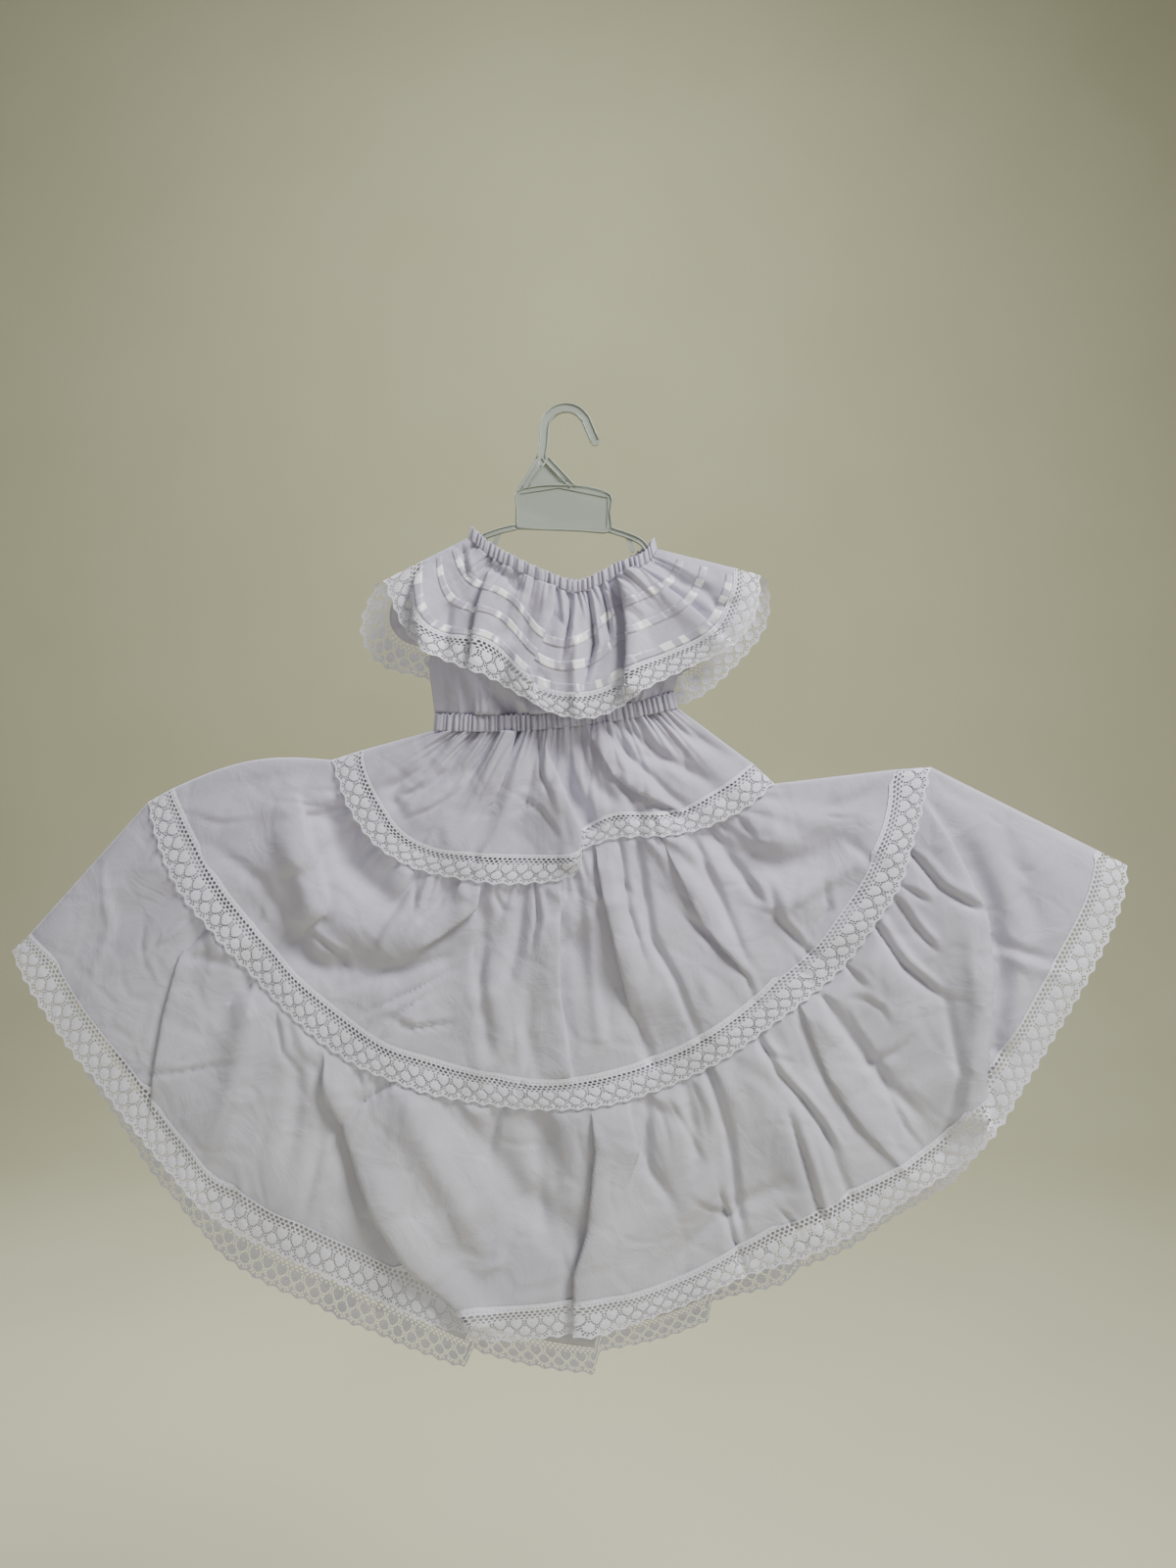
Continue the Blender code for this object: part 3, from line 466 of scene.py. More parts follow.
class SurfaceTree:
    """A material in the making, with the nodes that the finishes share."""

    def __init__(self, name: str) -> None:
        """Start a material with nothing but its shader."""
        self.material = bpy.data.materials.new(name)
        self.material.use_nodes = True
        self.tree = self.material.node_tree
        self.shader = self.tree.nodes["Principled BSDF"]
        self.place = add_node(self.tree, "ShaderNodeTexCoord").outputs["Object"]

    def flat(self) -> bpy.types.NodeSocket:
        """Return the piece's own UV map, in metres."""
        return add_node(self.tree, "ShaderNodeUVMap", {"uv_map": UV_NAME}).outputs[0]

    def stretched(
        self, vector: bpy.types.NodeSocket, scale: tuple[float, float, float],
    ) -> bpy.types.NodeSocket:
        """Return coordinates scaled along each axis."""
        return add_node(
            self.tree, "ShaderNodeMapping", values={"Scale": scale}, links={"Vector": vector},
        ).outputs[0]

    def noise(
        self, scale: float, detail: float, more: dict[str, float] | None = None,
        vector: bpy.types.NodeSocket | None = None, output: str = "Fac",
    ) -> bpy.types.NodeSocket:
        """Return noise over the piece's own coordinates or over a given vector."""
        return add_node(
            self.tree, "ShaderNodeTexNoise", values={"Scale": scale, "Detail": detail, **(more or {})},
            links={"Vector": self.place if vector is None else vector},
        ).outputs[output]

    def bands(
        self, flat: bpy.types.NodeSocket, direction: str, spacing: float, more: dict[str, float],
    ) -> bpy.types.NodeSocket:
        """Return bands across the UV map with a spacing in millimetres."""
        return add_node(
            self.tree, "ShaderNodeTexWave", {"wave_type": "BANDS", "bands_direction": direction},
            {"Scale": BAND_AT_SCALE_1 / (spacing * MM), **more}, {"Vector": flat},
        ).outputs["Fac"]

    def spread(
        self, value: bpy.types.NodeSocket, low: float, high: float, start: float = 0.0, end: float = 1.0,
        way: str = "LINEAR",
    ) -> bpy.types.NodeSocket:
        """Return a value moved from between start and end to between low and high."""
        return add_node(
            self.tree, "ShaderNodeMapRange", {"interpolation_type": way},
            {"From Min": start, "From Max": end, "To Min": low, "To Max": high}, {"Value": value},
        ).outputs[0]

    def bump(
        self, height: bpy.types.NodeSocket, strength: float, distance: float,
        under: bpy.types.NodeSocket | None = None,
    ) -> bpy.types.NodeSocket:
        """Return the normal of a relief, laid over another one where that is given."""
        links = {"Height": height} if under is None else {"Height": height, "Normal": under}
        values = {"Strength": strength, "Distance": distance}
        return add_node(self.tree, "ShaderNodeBump", values=values, links=links).outputs[0]

    def mix(
        self, share: bpy.types.NodeSocket, first: bpy.types.NodeSocket | str, second: str,
    ) -> bpy.types.NodeSocket:
        """Return a colour between a first one, given as hex digits or a socket, and a second one."""
        values, links = {7: linear(second)}, {0: share}
        if isinstance(first, str):
            values[6] = linear(first)
        else:
            links[6] = first
        return add_node(self.tree, "ShaderNodeMix", {"data_type": "RGBA"}, values, links).outputs[2]

    def color(self, value: bpy.types.NodeSocket, *stops: tuple[float, str]) -> None:
        """Colour the surface by a value, from one stop (position, hex colour) to another."""
        ramp = add_node(self.tree, "ShaderNodeValToRGB", links={0: value})
        for element, (position, color) in zip(ramp.color_ramp.elements, stops):
            element.position = position
            element.color = linear(color)
        self.feed(ramp.outputs[0], "Base Color")

    def feed(self, source: bpy.types.NodeSocket, name: str) -> None:
        """Feed one of the shader's inputs."""
        self.tree.links.new(source, self.shader.inputs[name])

    def finished(self, values: dict[str, float]) -> bpy.types.Material:
        """Set the rest of the shader's inputs and return the material."""
        for name, value in values.items():
            self.shader.inputs[name].default_value = value
        return self.material


@dataclass(frozen=True)
class CottonPoplin:
    """Plain-woven cotton poplin, bleached, with the faint blue of optical whitener.

    It is matt with a soft bloom at grazing angles, and it keeps every crease it is packed with.
    """

    name: str = "cotton_poplin"
    upper: str = "#bfbbca"
    lower: str = "#c6c5cb"
    shade: str = "#aaa8b4"
    # Heights in metres between which the lower tint turns into the upper one
    tint_span: tuple[float, float] = (-0.56, -0.22)
    # The threads are 0.3 mm apart; they are drawn at 1.3 mm, which the render can show.
    thread: float = 1.3
    roughness: float = 0.86

    def build(self) -> bpy.types.Material:
        """Make the material."""
        surface = SurfaceTree(self.name)
        height = add_node(surface.tree, "ShaderNodeSeparateXYZ", links={0: surface.place}).outputs["Z"]
        tint = surface.mix(surface.spread(height, 0.0, 1.0, *self.tint_span), self.lower, self.upper)
        patches = surface.spread(surface.noise(14.0, 3.0, {"Roughness": 0.6}), 0.0, 0.55, 0.42, 0.75)
        surface.feed(surface.mix(patches, tint, self.shade), "Base Color")
        flat = surface.flat()
        bent = {"Distortion": 0.4, "Detail": 1.0, "Detail Scale": 2.0}
        warp, weft = (surface.bands(flat, direction, self.thread, bent) for direction in ("X", "Y"))
        weave = add_node(
            surface.tree, "ShaderNodeMath", {"operation": "MULTIPLY"}, links={0: warp, 1: weft},
        ).outputs[0]
        relief = surface.bump(weave, 0.22, 0.0003)
        wrinkles = surface.noise(26.0, 5.0, {"Roughness": 0.55, "Distortion": 0.8})
        relief = surface.bump(wrinkles, 0.5, 0.0045, relief)
        relief = surface.bump(self.facets(surface), 0.3, 0.0014, relief)
        surface.feed(relief, "Normal")
        surface.feed(surface.spread(weave, self.roughness - 0.06, self.roughness + 0.05), "Roughness")
        return surface.finished({"Sheen Weight": 0.1, "Sheen Roughness": 0.4, "Specular IOR Level": 0.3})

    def facets(self, surface: SurfaceTree) -> bpy.types.NodeSocket:
        """Return flat facets between creases, which are bent a little so that they aren't straight."""
        tree = surface.tree
        bend = add_node(
            tree, "ShaderNodeVectorMath", {"operation": "SCALE"}, {"Scale": 0.02},
            {0: surface.noise(22.0, 2.0, output="Color")},
        )
        moved = add_node(
            tree, "ShaderNodeVectorMath", {"operation": "ADD"}, links={0: surface.place, 1: bend.outputs[0]},
        )
        cells = add_node(
            tree, "ShaderNodeTexVoronoi", {"feature": "DISTANCE_TO_EDGE"}, {"Scale": 30.0, "Randomness": 1.0},
            {"Vector": moved.outputs[0]},
        )
        return surface.spread(cells.outputs["Distance"], 0.0, 1.0, 0.0, 0.18, "SMOOTHSTEP")


@dataclass(frozen=True)
class PolyesterLace:
    """Machine-made polyester lace: bright fine threads, slightly translucent and faintly lustrous."""

    name: str = "polyester_lace"
    bright: str = "#ebebf2"
    shade: str = "#cfcfda"
    # The threads are 0.15 mm thick; the cords they form are drawn at 0.9 mm.
    cord: float = 0.9
    roughness: float = 0.62

    def build(self) -> bpy.types.Material:
        """Make the material."""
        surface = SurfaceTree(self.name)
        cords = surface.noise(1.0 / (self.cord * MM), 3.0, {"Roughness": 0.7})
        surface.color(cords, (0.32, self.shade), (0.6, self.bright))
        surface.feed(surface.bump(cords, 0.6, 0.0004), "Normal")
        surface.feed(surface.spread(cords, self.roughness - 0.1, self.roughness + 0.1), "Roughness")
        return surface.finished({"Sheen Weight": 0.15})


@dataclass(frozen=True)
class SatinRibbon:
    """Narrow polyester satin ribbon: a bright broken gloss where its floats catch the light, partly painted:
    bright blocks are painted into its colour as painted highlights, with a lower roughness there.
    """

    name: str = "satin_ribbon"
    # Colour of the painted glints: bright blocks painted where the ribbon would catch the light
    bright: str = "#ffffff"
    # The ribbon's own colour between the painted glints
    quiet: str = "#b9b5c4"
    # The floats are 0.2 mm wide; they are drawn at 1 mm.
    float_width: float = 1.0

    def build(self) -> bpy.types.Material:
        """Make the material."""
        surface = SurfaceTree(self.name)
        flat = surface.flat()
        # Noise along the ribbon: where it is high, bright blocks are painted into the colour as painted
        # glints, and the roughness is lower
        painted_glints_and_gloss = surface.noise(95.0, 1.0, {"Roughness": 0.5}, surface.stretched(flat, (1.0, 0.15, 1.0)))
        surface.color(painted_glints_and_gloss, (0.5, self.quiet), (0.55, self.bright))
        surface.feed(surface.spread(painted_glints_and_gloss, 0.42, 0.2, 0.4, 0.6), "Roughness")
        floats = surface.bands(flat, "Y", self.float_width, {"Distortion": 0.5})
        surface.feed(surface.bump(floats, 0.12, 0.0003), "Normal")
        return surface.finished(
            {"Sheen Weight": 0.05, "Anisotropic": 0.4, "Coat Weight": 0.15, "Coat Roughness": 0.25},
        )


@dataclass(frozen=True)
class SewingThread:
    """Spun polyester sewing thread: white, matt, a little brighter than the cloth."""

    name: str = "sewing_thread"
    bright: str = "#e4e2ea"
    shade: str = "#c4c1cb"

    def build(self) -> bpy.types.Material:
        """Make the material."""
        surface = SurfaceTree(self.name)
        twist = surface.noise(900.0, 1.0)
        surface.color(twist, (0.35, self.shade), (0.6, self.bright))
        surface.feed(surface.bump(twist, 0.4, 0.0002), "Normal")
        return surface.finished({"Roughness": 0.8})


@dataclass(frozen=True)
class MouldedPolypropylene:
    """Injection-moulded natural polypropylene: pale green-grey, milky, softly glossy."""

    name: str = "moulded_polypropylene"
    body: str = "#b2baad"
    flow: str = "#a5ada1"
    roughness: float = 0.36

    def build(self) -> bpy.types.Material:
        """Make the material."""
        surface = SurfaceTree(self.name)
        flow = surface.stretched(surface.place, (0.4, 1.0, 1.4))
        streaks = surface.noise(28.0, 3.0, {"Distortion": 0.6}, flow)
        surface.color(streaks, (0.38, self.flow), (0.64, self.body))
        surface.feed(surface.bump(surface.noise(700.0, 2.0), 0.08, 0.0003), "Normal")
        surface.feed(surface.spread(streaks, self.roughness - 0.08, self.roughness + 0.08), "Roughness")
        return surface.finished({"Transmission Weight": 0.12, "IOR": 1.49})


@dataclass(frozen=True)
class PaintedBackdrop:
    """Matt emulsion on a smooth studio sweep."""

    name: str = "studio_backdrop"
    bright: str = "#d6d5b6"
    mottle: str = "#d2d1b1"

    def build(self) -> bpy.types.Material:
        """Make the material."""
        surface = SurfaceTree(self.name)
        surface.color(surface.noise(2.0, 2.0), (0.35, self.mottle), (0.65, self.bright))
        return surface.finished({"Roughness": 0.95})


LINES: dict[Line, tuple[np.ndarray, np.ndarray]] = {}


def smooth_line(points: Line, steps: int = 10) -> np.ndarray:
    """Return a dense line through the points, rounded as a Catmull-Rom curve."""
    rows = np.array(points, dtype=float)
    rows = np.vstack((2.0 * rows[0] - rows[1], rows, 2.0 * rows[-1] - rows[-2]))
    line = []
    for before, start, end, after in zip(rows, rows[1:], rows[2:], rows[3:]):
        for step in range(steps):
            t = step / steps
            line.append(0.5 * (
                2.0 * start
                + (end - before) * t
                + (2.0 * before - 5.0 * start + 4.0 * end - after) * t ** 2
                + (3.0 * start - 3.0 * end + after - before) * t ** 3
            ))
    line.append(rows[-2])
    return np.array(line)


def measured(edge: Line) -> tuple[np.ndarray, np.ndarray]:
    """Return an edge's dense line and the distance travelled at each of its points."""
    if edge not in LINES:
        line = smooth_line(edge)
        lengths = np.hypot(*np.diff(line, axis=0).T)
        LINES[edge] = (line, np.concatenate(((0.0,), np.cumsum(lengths))))
    return LINES[edge]


def along(edge: Line, share: np.ndarray) -> np.ndarray:
    """Return (across, down) at shares of an edge's length."""
    line, travelled = measured(edge)
    target = np.asarray(share) * travelled[-1]
    return np.stack(
        (np.interp(target, travelled, line[:, 0]), np.interp(target, travelled, line[:, 1])), axis=-1,
    )


def roundness(share: np.ndarray) -> np.ndarray:
    """Return how far the cloth stands off the middle plane: 0 at the sides, 1 at the middle."""
    return np.sqrt(np.clip(4.0 * share * (1.0 - share), 0.0, 1.0))


def between(
    edges: Sequence[Line], level: np.ndarray, share: np.ndarray, values: Sequence[float],
) -> tuple[np.ndarray, np.ndarray, np.ndarray]:
    """Read a place between a panel's edges, where a whole level is one of the edges.

    Args:
        edges: The edges from the top down.
        level: Level of each place.
        share: Share across of each place.
        values: One value for each edge.

    Returns:
        The places as (across, down), the row length and the blended value there.
    """
    lower = np.clip(level.astype(int), 0, len(edges) - 2)
    part = level - lower
    place = np.zeros((*level.shape, 2))
    length = np.zeros(level.shape)
    value = np.zeros(level.shape)
    for number in range(len(edges) - 1):
        here = lower == number
        if not here.any():
            continue
        amount = part[here]
        top, foot = along(edges[number], share[here]), along(edges[number + 1], share[here])
        place[here] = top + (foot - top) * amount[:, None]
        lengths = [measured(edge)[1][-1] for edge in edges[number:number + 2]]
        length[here] = lengths[0] + (lengths[1] - lengths[0]) * amount
        value[here] = values[number] + (values[number + 1] - values[number]) * amount
    return place, length, value


@dataclass(frozen=True)
class Gathers:
    """Pinched gathers that run down from a seam, each with its own place, depth and length."""

    count: int
    depth: float
    reach: float
    seed: int
    narrow: float = 0.27

    def rise(self, share: np.ndarray, fall: np.ndarray, row_length: np.ndarray) -> np.ndarray:
        """Return the height of the cloth.

        Args:
            share: Share across.
            fall: Distance below the seam.
            row_length: Length of the row through each place.

        Returns:
            The height, negative in the hollows between the gathers.
        """
        rng = np.random.default_rng(self.seed)
        spacing = 1.0 / self.count
        height = np.zeros(share.shape)
        for number in range(self.count):
            centre = (number + 0.5 + rng.uniform(-0.32, 0.32)) * spacing
            depth = self.depth * rng.uniform(0.45, 1.3)
            reach = self.reach * float(np.exp(rng.normal(0.0, 0.55)))
            lean = rng.normal(0.0, 0.012) / 40.0
            narrow = self.narrow * rng.uniform(0.75, 1.4)
            half = narrow * spacing * row_length * (1.0 + fall / 70.0)
            off = (share - centre - lean * fall * (1.0 - np.exp(-fall / 30.0))) * row_length
            fade = np.exp(-(fall / reach) ** 1.3)
            height -= depth * fade * np.exp(-(off / half) ** 2)
            height += 0.3 * depth * fade * np.exp(-((off - 2.0 * half) / half) ** 2)
        return height


@dataclass(frozen=True)
class Wrinkles:
    """Small packing wrinkles strewn over a panel."""

    count: int
    length: tuple[float, float]
    depth: tuple[float, float]
    seed: int

    def creases(
        self, place: Callable[[float, float], np.ndarray], first: float, last: float,
    ) -> tuple[Crease, ...]:
        """Strew the wrinkles.

        Args:
            place: Gives (across, down) from a level and a share across.
            first: The highest level.
            last: The lowest level.

        Returns:
            The wrinkles as creases.
        """
        rng = np.random.default_rng(self.seed)
        kinds = (Fold.CRISP, Fold.TROUGH, Fold.RIDGE)
        rows = []
        for _ in range(self.count):
            level = first + (last - first) * rng.uniform(0.02, 0.98)
            share = rng.uniform(0.03, 0.97)
            start = place(level, share)
            way = place(min(level + 0.05, last), share) - place(level, share)
            way = way / max(1e-6, float(np.hypot(*way)))
            turn = rng.normal(0.0, 0.55)
            bend = rng.normal(0.0, 0.4)
            length = rng.uniform(*self.length)
            points = [tuple(start)]
            for _ in range(3):
                cos, sin = np.cos(turn), np.sin(turn)
                heading = np.array((way[0] * cos - way[1] * sin, way[0] * sin + way[1] * cos))
                start = start + heading * length / 3.0
                points.append(tuple(start))
                turn += bend
            kind = kinds[int(rng.choice(3, p=(0.5, 0.25, 0.25)))]
            width = rng.uniform(2.2, 3.4) if kind is Fold.CRISP else rng.uniform(3.5, 7.0)
            rows.append(Crease(kind, width, rng.uniform(*self.depth), (0.1, 0.1), tuple(points)))
        return tuple(rows)


@dataclass
class Relief:
    """Everything that lifts, presses or moves one layer of cloth off its smooth form."""

    creases: tuple[Crease, ...]
    gathers: tuple[Gathers, ...]
    swell: float = 1.9
    past_end: float = 7.0
    lap: float = 2.4
    deepen: float = 1.2
    tighten: float = 0.85

    def field(
        self, place: np.ndarray, share: np.ndarray, fall: np.ndarray, row_length: np.ndarray,
    ) -> tuple[np.ndarray, np.ndarray]:
        """Return the layer's height off its smooth form and its shift as (across, down).

        Args:
            place: Places as (across, down).
            share: Share across.
            fall: Distance below the layer's own seam.
            row_length: Length of the row through each place.
        """
        x, down = place[..., 0], place[..., 1]
        rise = self.swell * (
            np.sin(x / 21.0 + 1.7 * np.sin(down / 33.0)) * np.cos(down / 39.0 + 0.8 * np.sin(x / 27.0))
            + 0.5 * np.sin(x / 11.0 + down / 17.0 + 1.3 * np.sin(down / 15.0))
        )
        rise *= 1.0 - np.exp(-np.clip(fall, 0.0, None) / 25.0)
        for row in self.gathers:
            rise = rise + row.rise(share, np.clip(fall, 0.0, None), row_length)
        shift = np.zeros(place.shape)
        for crease in self.creases:
            self.add_crease(crease, place, rise, shift)
        return rise, shift

    def add_crease(self, crease: Crease, place: np.ndarray, rise: np.ndarray, shift: np.ndarray) -> None:
        """Add one crease to the height and the shift."""
        line = np.array(crease.line, dtype=float)
        reach = 6.0 * crease.width + 30.0
        near = (
            (place[..., 0] > line[:, 0].min() - reach) & (place[..., 0] < line[:, 0].max() + reach)
            & (place[..., 1] > line[:, 1].min() - reach) & (place[..., 1] < line[:, 1].max() + reach)
        )
        if not near.any():
            return
        spots = place[near]
        lengths = np.hypot(*np.diff(line, axis=0).T)
        travelled = np.concatenate(((0.0,), np.cumsum(lengths)))
        best = np.full(len(spots), np.inf)
        off = np.zeros(len(spots))
        progress = np.zeros(len(spots))
        normals = np.zeros(spots.shape)
        for number, length in enumerate(lengths):
            way = (line[number + 1] - line[number]) / length
            normal = np.array((way[1], -way[0]))
            from_start = spots - line[number]
            walked = np.clip(from_start @ way, 0.0, length)
            gap = from_start - walked[:, None] * way
            distance = np.hypot(gap[:, 0], gap[:, 1])
            closer = distance < best
            best[closer] = distance[closer]
            side = gap @ normal
            inner = (from_start @ way > 0.0) & (from_start @ way < length)
            inner |= (number > 0) & (from_start @ way <= 0.0)
            inner |= (number < len(lengths) - 1) & (from_start @ way >= length)
            off[closer] = np.where(inner, np.sign(side) * distance, side)[closer]
            progress[closer] = ((travelled[number] + walked) / travelled[-1])[closer]
            normals[closer] = normal
        beyond = np.sqrt(np.clip(best ** 2 - off ** 2, 0.0, None))
        ends = crease.ends[0] + (crease.ends[1] - crease.ends[0]) * progress
        strength = (ends + (1.0 - ends) * np.sin(np.pi * progress)) * np.exp(-(beyond / self.past_end) ** 2)
        width, depth = crease.width * self.tighten, crease.depth * self.deepen
        if crease.kind is Fold.TROUGH or crease.kind is Fold.RIDGE:
            sign = 1.0 if crease.kind is Fold.RIDGE else -1.0
            rise[near] += sign * depth * strength * np.exp(-(off / width) ** 2)
            return
        if crease.kind is Fold.CRISP:
            pinch = -np.exp(-np.abs(off) / (0.7 * width)) + 0.35 * np.exp(-((off - 1.9 * width) / width) ** 2)
            rise[near] += depth * strength * pinch
            return
        front = 1.0 if crease.kind is Fold.OVER_RIGHT else -1.0
        ahead = off * front / width
        step = 0.5 * (1.0 + np.tanh(1.6 * ahead)) * np.exp(-(np.clip(ahead, 0.0, None) / 4.5) ** 2)
        hollow = -0.35 * np.exp(-((ahead + 0.9) / 1.3) ** 2)
        rise[near] += depth * strength * (step + hollow)
        lap = -self.lap * width * front * ahead * np.exp(-ahead ** 2) * strength
        shift[near] += normals * lap[:, None]


def new_object(name: str, data: bpy.types.ID) -> bpy.types.Object:
    """Make an object for a mesh, a lamp or a camera and link it to the scene."""
    made = bpy.data.objects.new(name, data)
    bpy.context.scene.collection.objects.link(made)
    return made


def new_mesh(
    name: str, points: Sequence, faces: Sequence, finish: bpy.types.Material | None = None,
) -> bpy.types.Mesh:
    """Make a mesh with a UV map from points in metres and, where it has a finish, shade it smooth."""
    mesh = bpy.data.meshes.new(name)
    mesh.from_pydata(points, [], faces)
    mesh.uv_layers.new(name=UV_NAME)
    if finish:
        mesh.materials.append(finish)
        mesh.shade_smooth()
    return mesh


def sheet_object(
    name: str, points: np.ndarray, flat: np.ndarray, side: Side, finish: bpy.types.Material, wall: float,
) -> bpy.types.Object:
    """Make a sheet of cloth from a grid of points.

    Args:
        name: Name of the piece.
        points: Rows by columns by three, in millimetres.
        flat: Rows by columns by two, the UV map.
        side: The side of the dress that it faces.
        finish: Its material.
        wall: Thickness in millimetres, or 0 for none.

    Returns:
        The piece.
    """
    rows, columns = points.shape[:2]
    index = np.arange(rows * columns).reshape(rows, columns)
    corners = [index[:-1, :-1], index[1:, :-1], index[1:, 1:], index[:-1, 1:]]
    if side is Side.BACK:
        corners.reverse()
    faces = np.stack([corner.ravel() for corner in corners], axis=1)
    mesh = new_mesh(name, (points.reshape(-1, 3) * MM).tolist(), faces.tolist(), finish)
    spots = flat.reshape(-1, 2)[faces.ravel()].astype(np.float32).ravel()
    mesh.uv_layers[UV_NAME].data.foreach_set("uv", spots)
    mesh.update()
    made = new_object(name, mesh)
    if wall:
        solidify = made.modifiers.new("wall", "SOLIDIFY")
        solidify.thickness = wall * MM
        solidify.offset = 0.0
        solidify.use_even_offset = False
    return made


def size_of(step: np.ndarray) -> np.ndarray:
    """Return the lengths of steps given as (across, down)."""
    return np.hypot(*np.moveaxis(step, -1, 0))


def damping(room: np.ndarray) -> np.ndarray:
    """Return the share of the folds that is kept, from none at the sides to all of it further in."""
    return np.clip(SIDE_DAMPING * room, 0.0, 1.0)


def points_of(place: np.ndarray, stand: np.ndarray, side: Side) -> np.ndarray:
    """Return points from places and the distance off the middle plane."""
    return np.stack((place[..., 0], side.facing * stand, -place[..., 1]), axis=-1)


class EdgingTree:
    """A node tree that repeats a flat tile along a sheet, following its UV map."""

    def __init__(self) -> None:
        """Build the tree."""
        self.tree = bpy.data.node_groups.new("repeat_along_sheet", "GeometryNodeTree")
        self.ids: dict[str, str] = {}
        face = self.tree.interface
        for name, kind in (
            ("Sheet", "NodeSocketGeometry"), ("Tile", "NodeSocketObject"), ("Repeats", "NodeSocketInt"),
            ("Finish", "NodeSocketMaterial"),
        ):
            self.ids[name] = face.new_socket(name=name, in_out="INPUT", socket_type=kind).identifier
        face.new_socket(name="Edging", in_out="OUTPUT", socket_type="NodeSocketGeometry")
        self.build()

    def build(self) -> None:
        """Add the nodes."""
        add = partial(add_node, self.tree)
        given = add("NodeGroupInput").outputs
        tile = add(
            "GeometryNodeObjectInfo", {"transform_space": "ORIGINAL"}, links={"Object": given["Tile"]},
        )
        line = add(
            "GeometryNodeMeshLine", {"mode": "OFFSET"}, {"Offset": (1.0, 0.0, 0.0)},
            {"Count": given["Repeats"]},
        )
        row = add(
            "GeometryNodeInstanceOnPoints",
            links={"Points": line.outputs["Mesh"], "Instance": tile.outputs["Geometry"]},
        )
        real = add("GeometryNodeRealizeInstances", links={"Geometry": row.outputs["Instances"]})
        position = add("GeometryNodeInputPosition")
        parts = add("ShaderNodeSeparateXYZ", links={0: position.outputs[0]})
        share = add(
            "ShaderNodeMath", {"operation": "DIVIDE"}, links={0: parts.outputs["X"], 1: given["Repeats"]},
        )
        across, down = (
            add("ShaderNodeClamp", values={"Min": INSIDE, "Max": 1.0 - INSIDE}, links={"Value": source})
            for source in (share.outputs[0], parts.outputs["Y"])
        )
        spot = add("ShaderNodeCombineXYZ", links={"X": across.outputs[0], "Y": down.outputs[0]})
        flat = add("GeometryNodeInputNamedAttribute", {"data_type": "FLOAT_VECTOR"}, {"Name": UV_NAME})
        normal = add("GeometryNodeInputNormal")
        read = []
        for source in (position.outputs[0], normal.outputs[0]):
            sample = add("GeometryNodeSampleUVSurface", {"data_type": "FLOAT_VECTOR"})
            live = {socket.name: socket for socket in sample.inputs if socket.enabled}
            for name, fed in (
                ("Mesh", given["Sheet"]), ("Value", source), ("UV Map", flat.outputs["Attribute"]),
                ("Sample UV", spot.outputs[0]),
            ):
                self.tree.links.new(fed, live[name])
            read.append(next(
                socket for socket in sample.outputs if socket.enabled and socket.name == "Value"
            ))
        lift = add(
            "ShaderNodeVectorMath", {"operation": "SCALE"}, links={0: read[1], "Scale": parts.outputs["Z"]},
        )
        place = add("ShaderNodeVectorMath", {"operation": "ADD"}, links={0: read[0], 1: lift.outputs[0]})
        laid = add(
            "GeometryNodeSetPosition", links={"Geometry": real.outputs[0], "Position": place.outputs[0]},
        )
        welded = add(
            "GeometryNodeMergeByDistance", values={"Distance": MERGE_WITHIN},
            links={"Geometry": laid.outputs[0]},
        )
        whole = add("GeometryNodeRealizeInstances", links={"Geometry": welded.outputs[0]})
        finished = add(
            "GeometryNodeSetMaterial", links={"Geometry": whole.outputs[0], "Material": given["Finish"]},
        )
        add("NodeGroupOutput", links={0: finished.outputs[0]})

    def lay(
        self, name: str, carrier: bpy.types.Object, tile: bpy.types.Object, repeats: int,
        finish: bpy.types.Material,
    ) -> bpy.types.Object:
        """Repeat a tile along a carrier sheet and return the result as a plain mesh object.

        Args:
            name: Name of the piece.
            carrier: The sheet that it follows, with a UV map from 0 to 1.
            tile: One repeat, with both its sides from 0 to 1 and its height in metres.
            repeats: How many tiles there are.
            finish: The material.

        Returns:
            The finished piece.
        """
        modifier = carrier.modifiers.new("edging", "NODES")
        modifier.node_group = self.tree
        modifier[self.ids["Tile"]] = tile
        modifier[self.ids["Repeats"]] = repeats
        modifier[self.ids["Finish"]] = finish
        bpy.context.view_layer.update()
        evaluated = carrier.evaluated_get(bpy.context.evaluated_depsgraph_get())
        mesh = bpy.data.meshes.new_from_object(evaluated)
        mesh.name = name
        carrier.modifiers.remove(modifier)
        mesh.shade_smooth()
        return new_object(name, mesh)


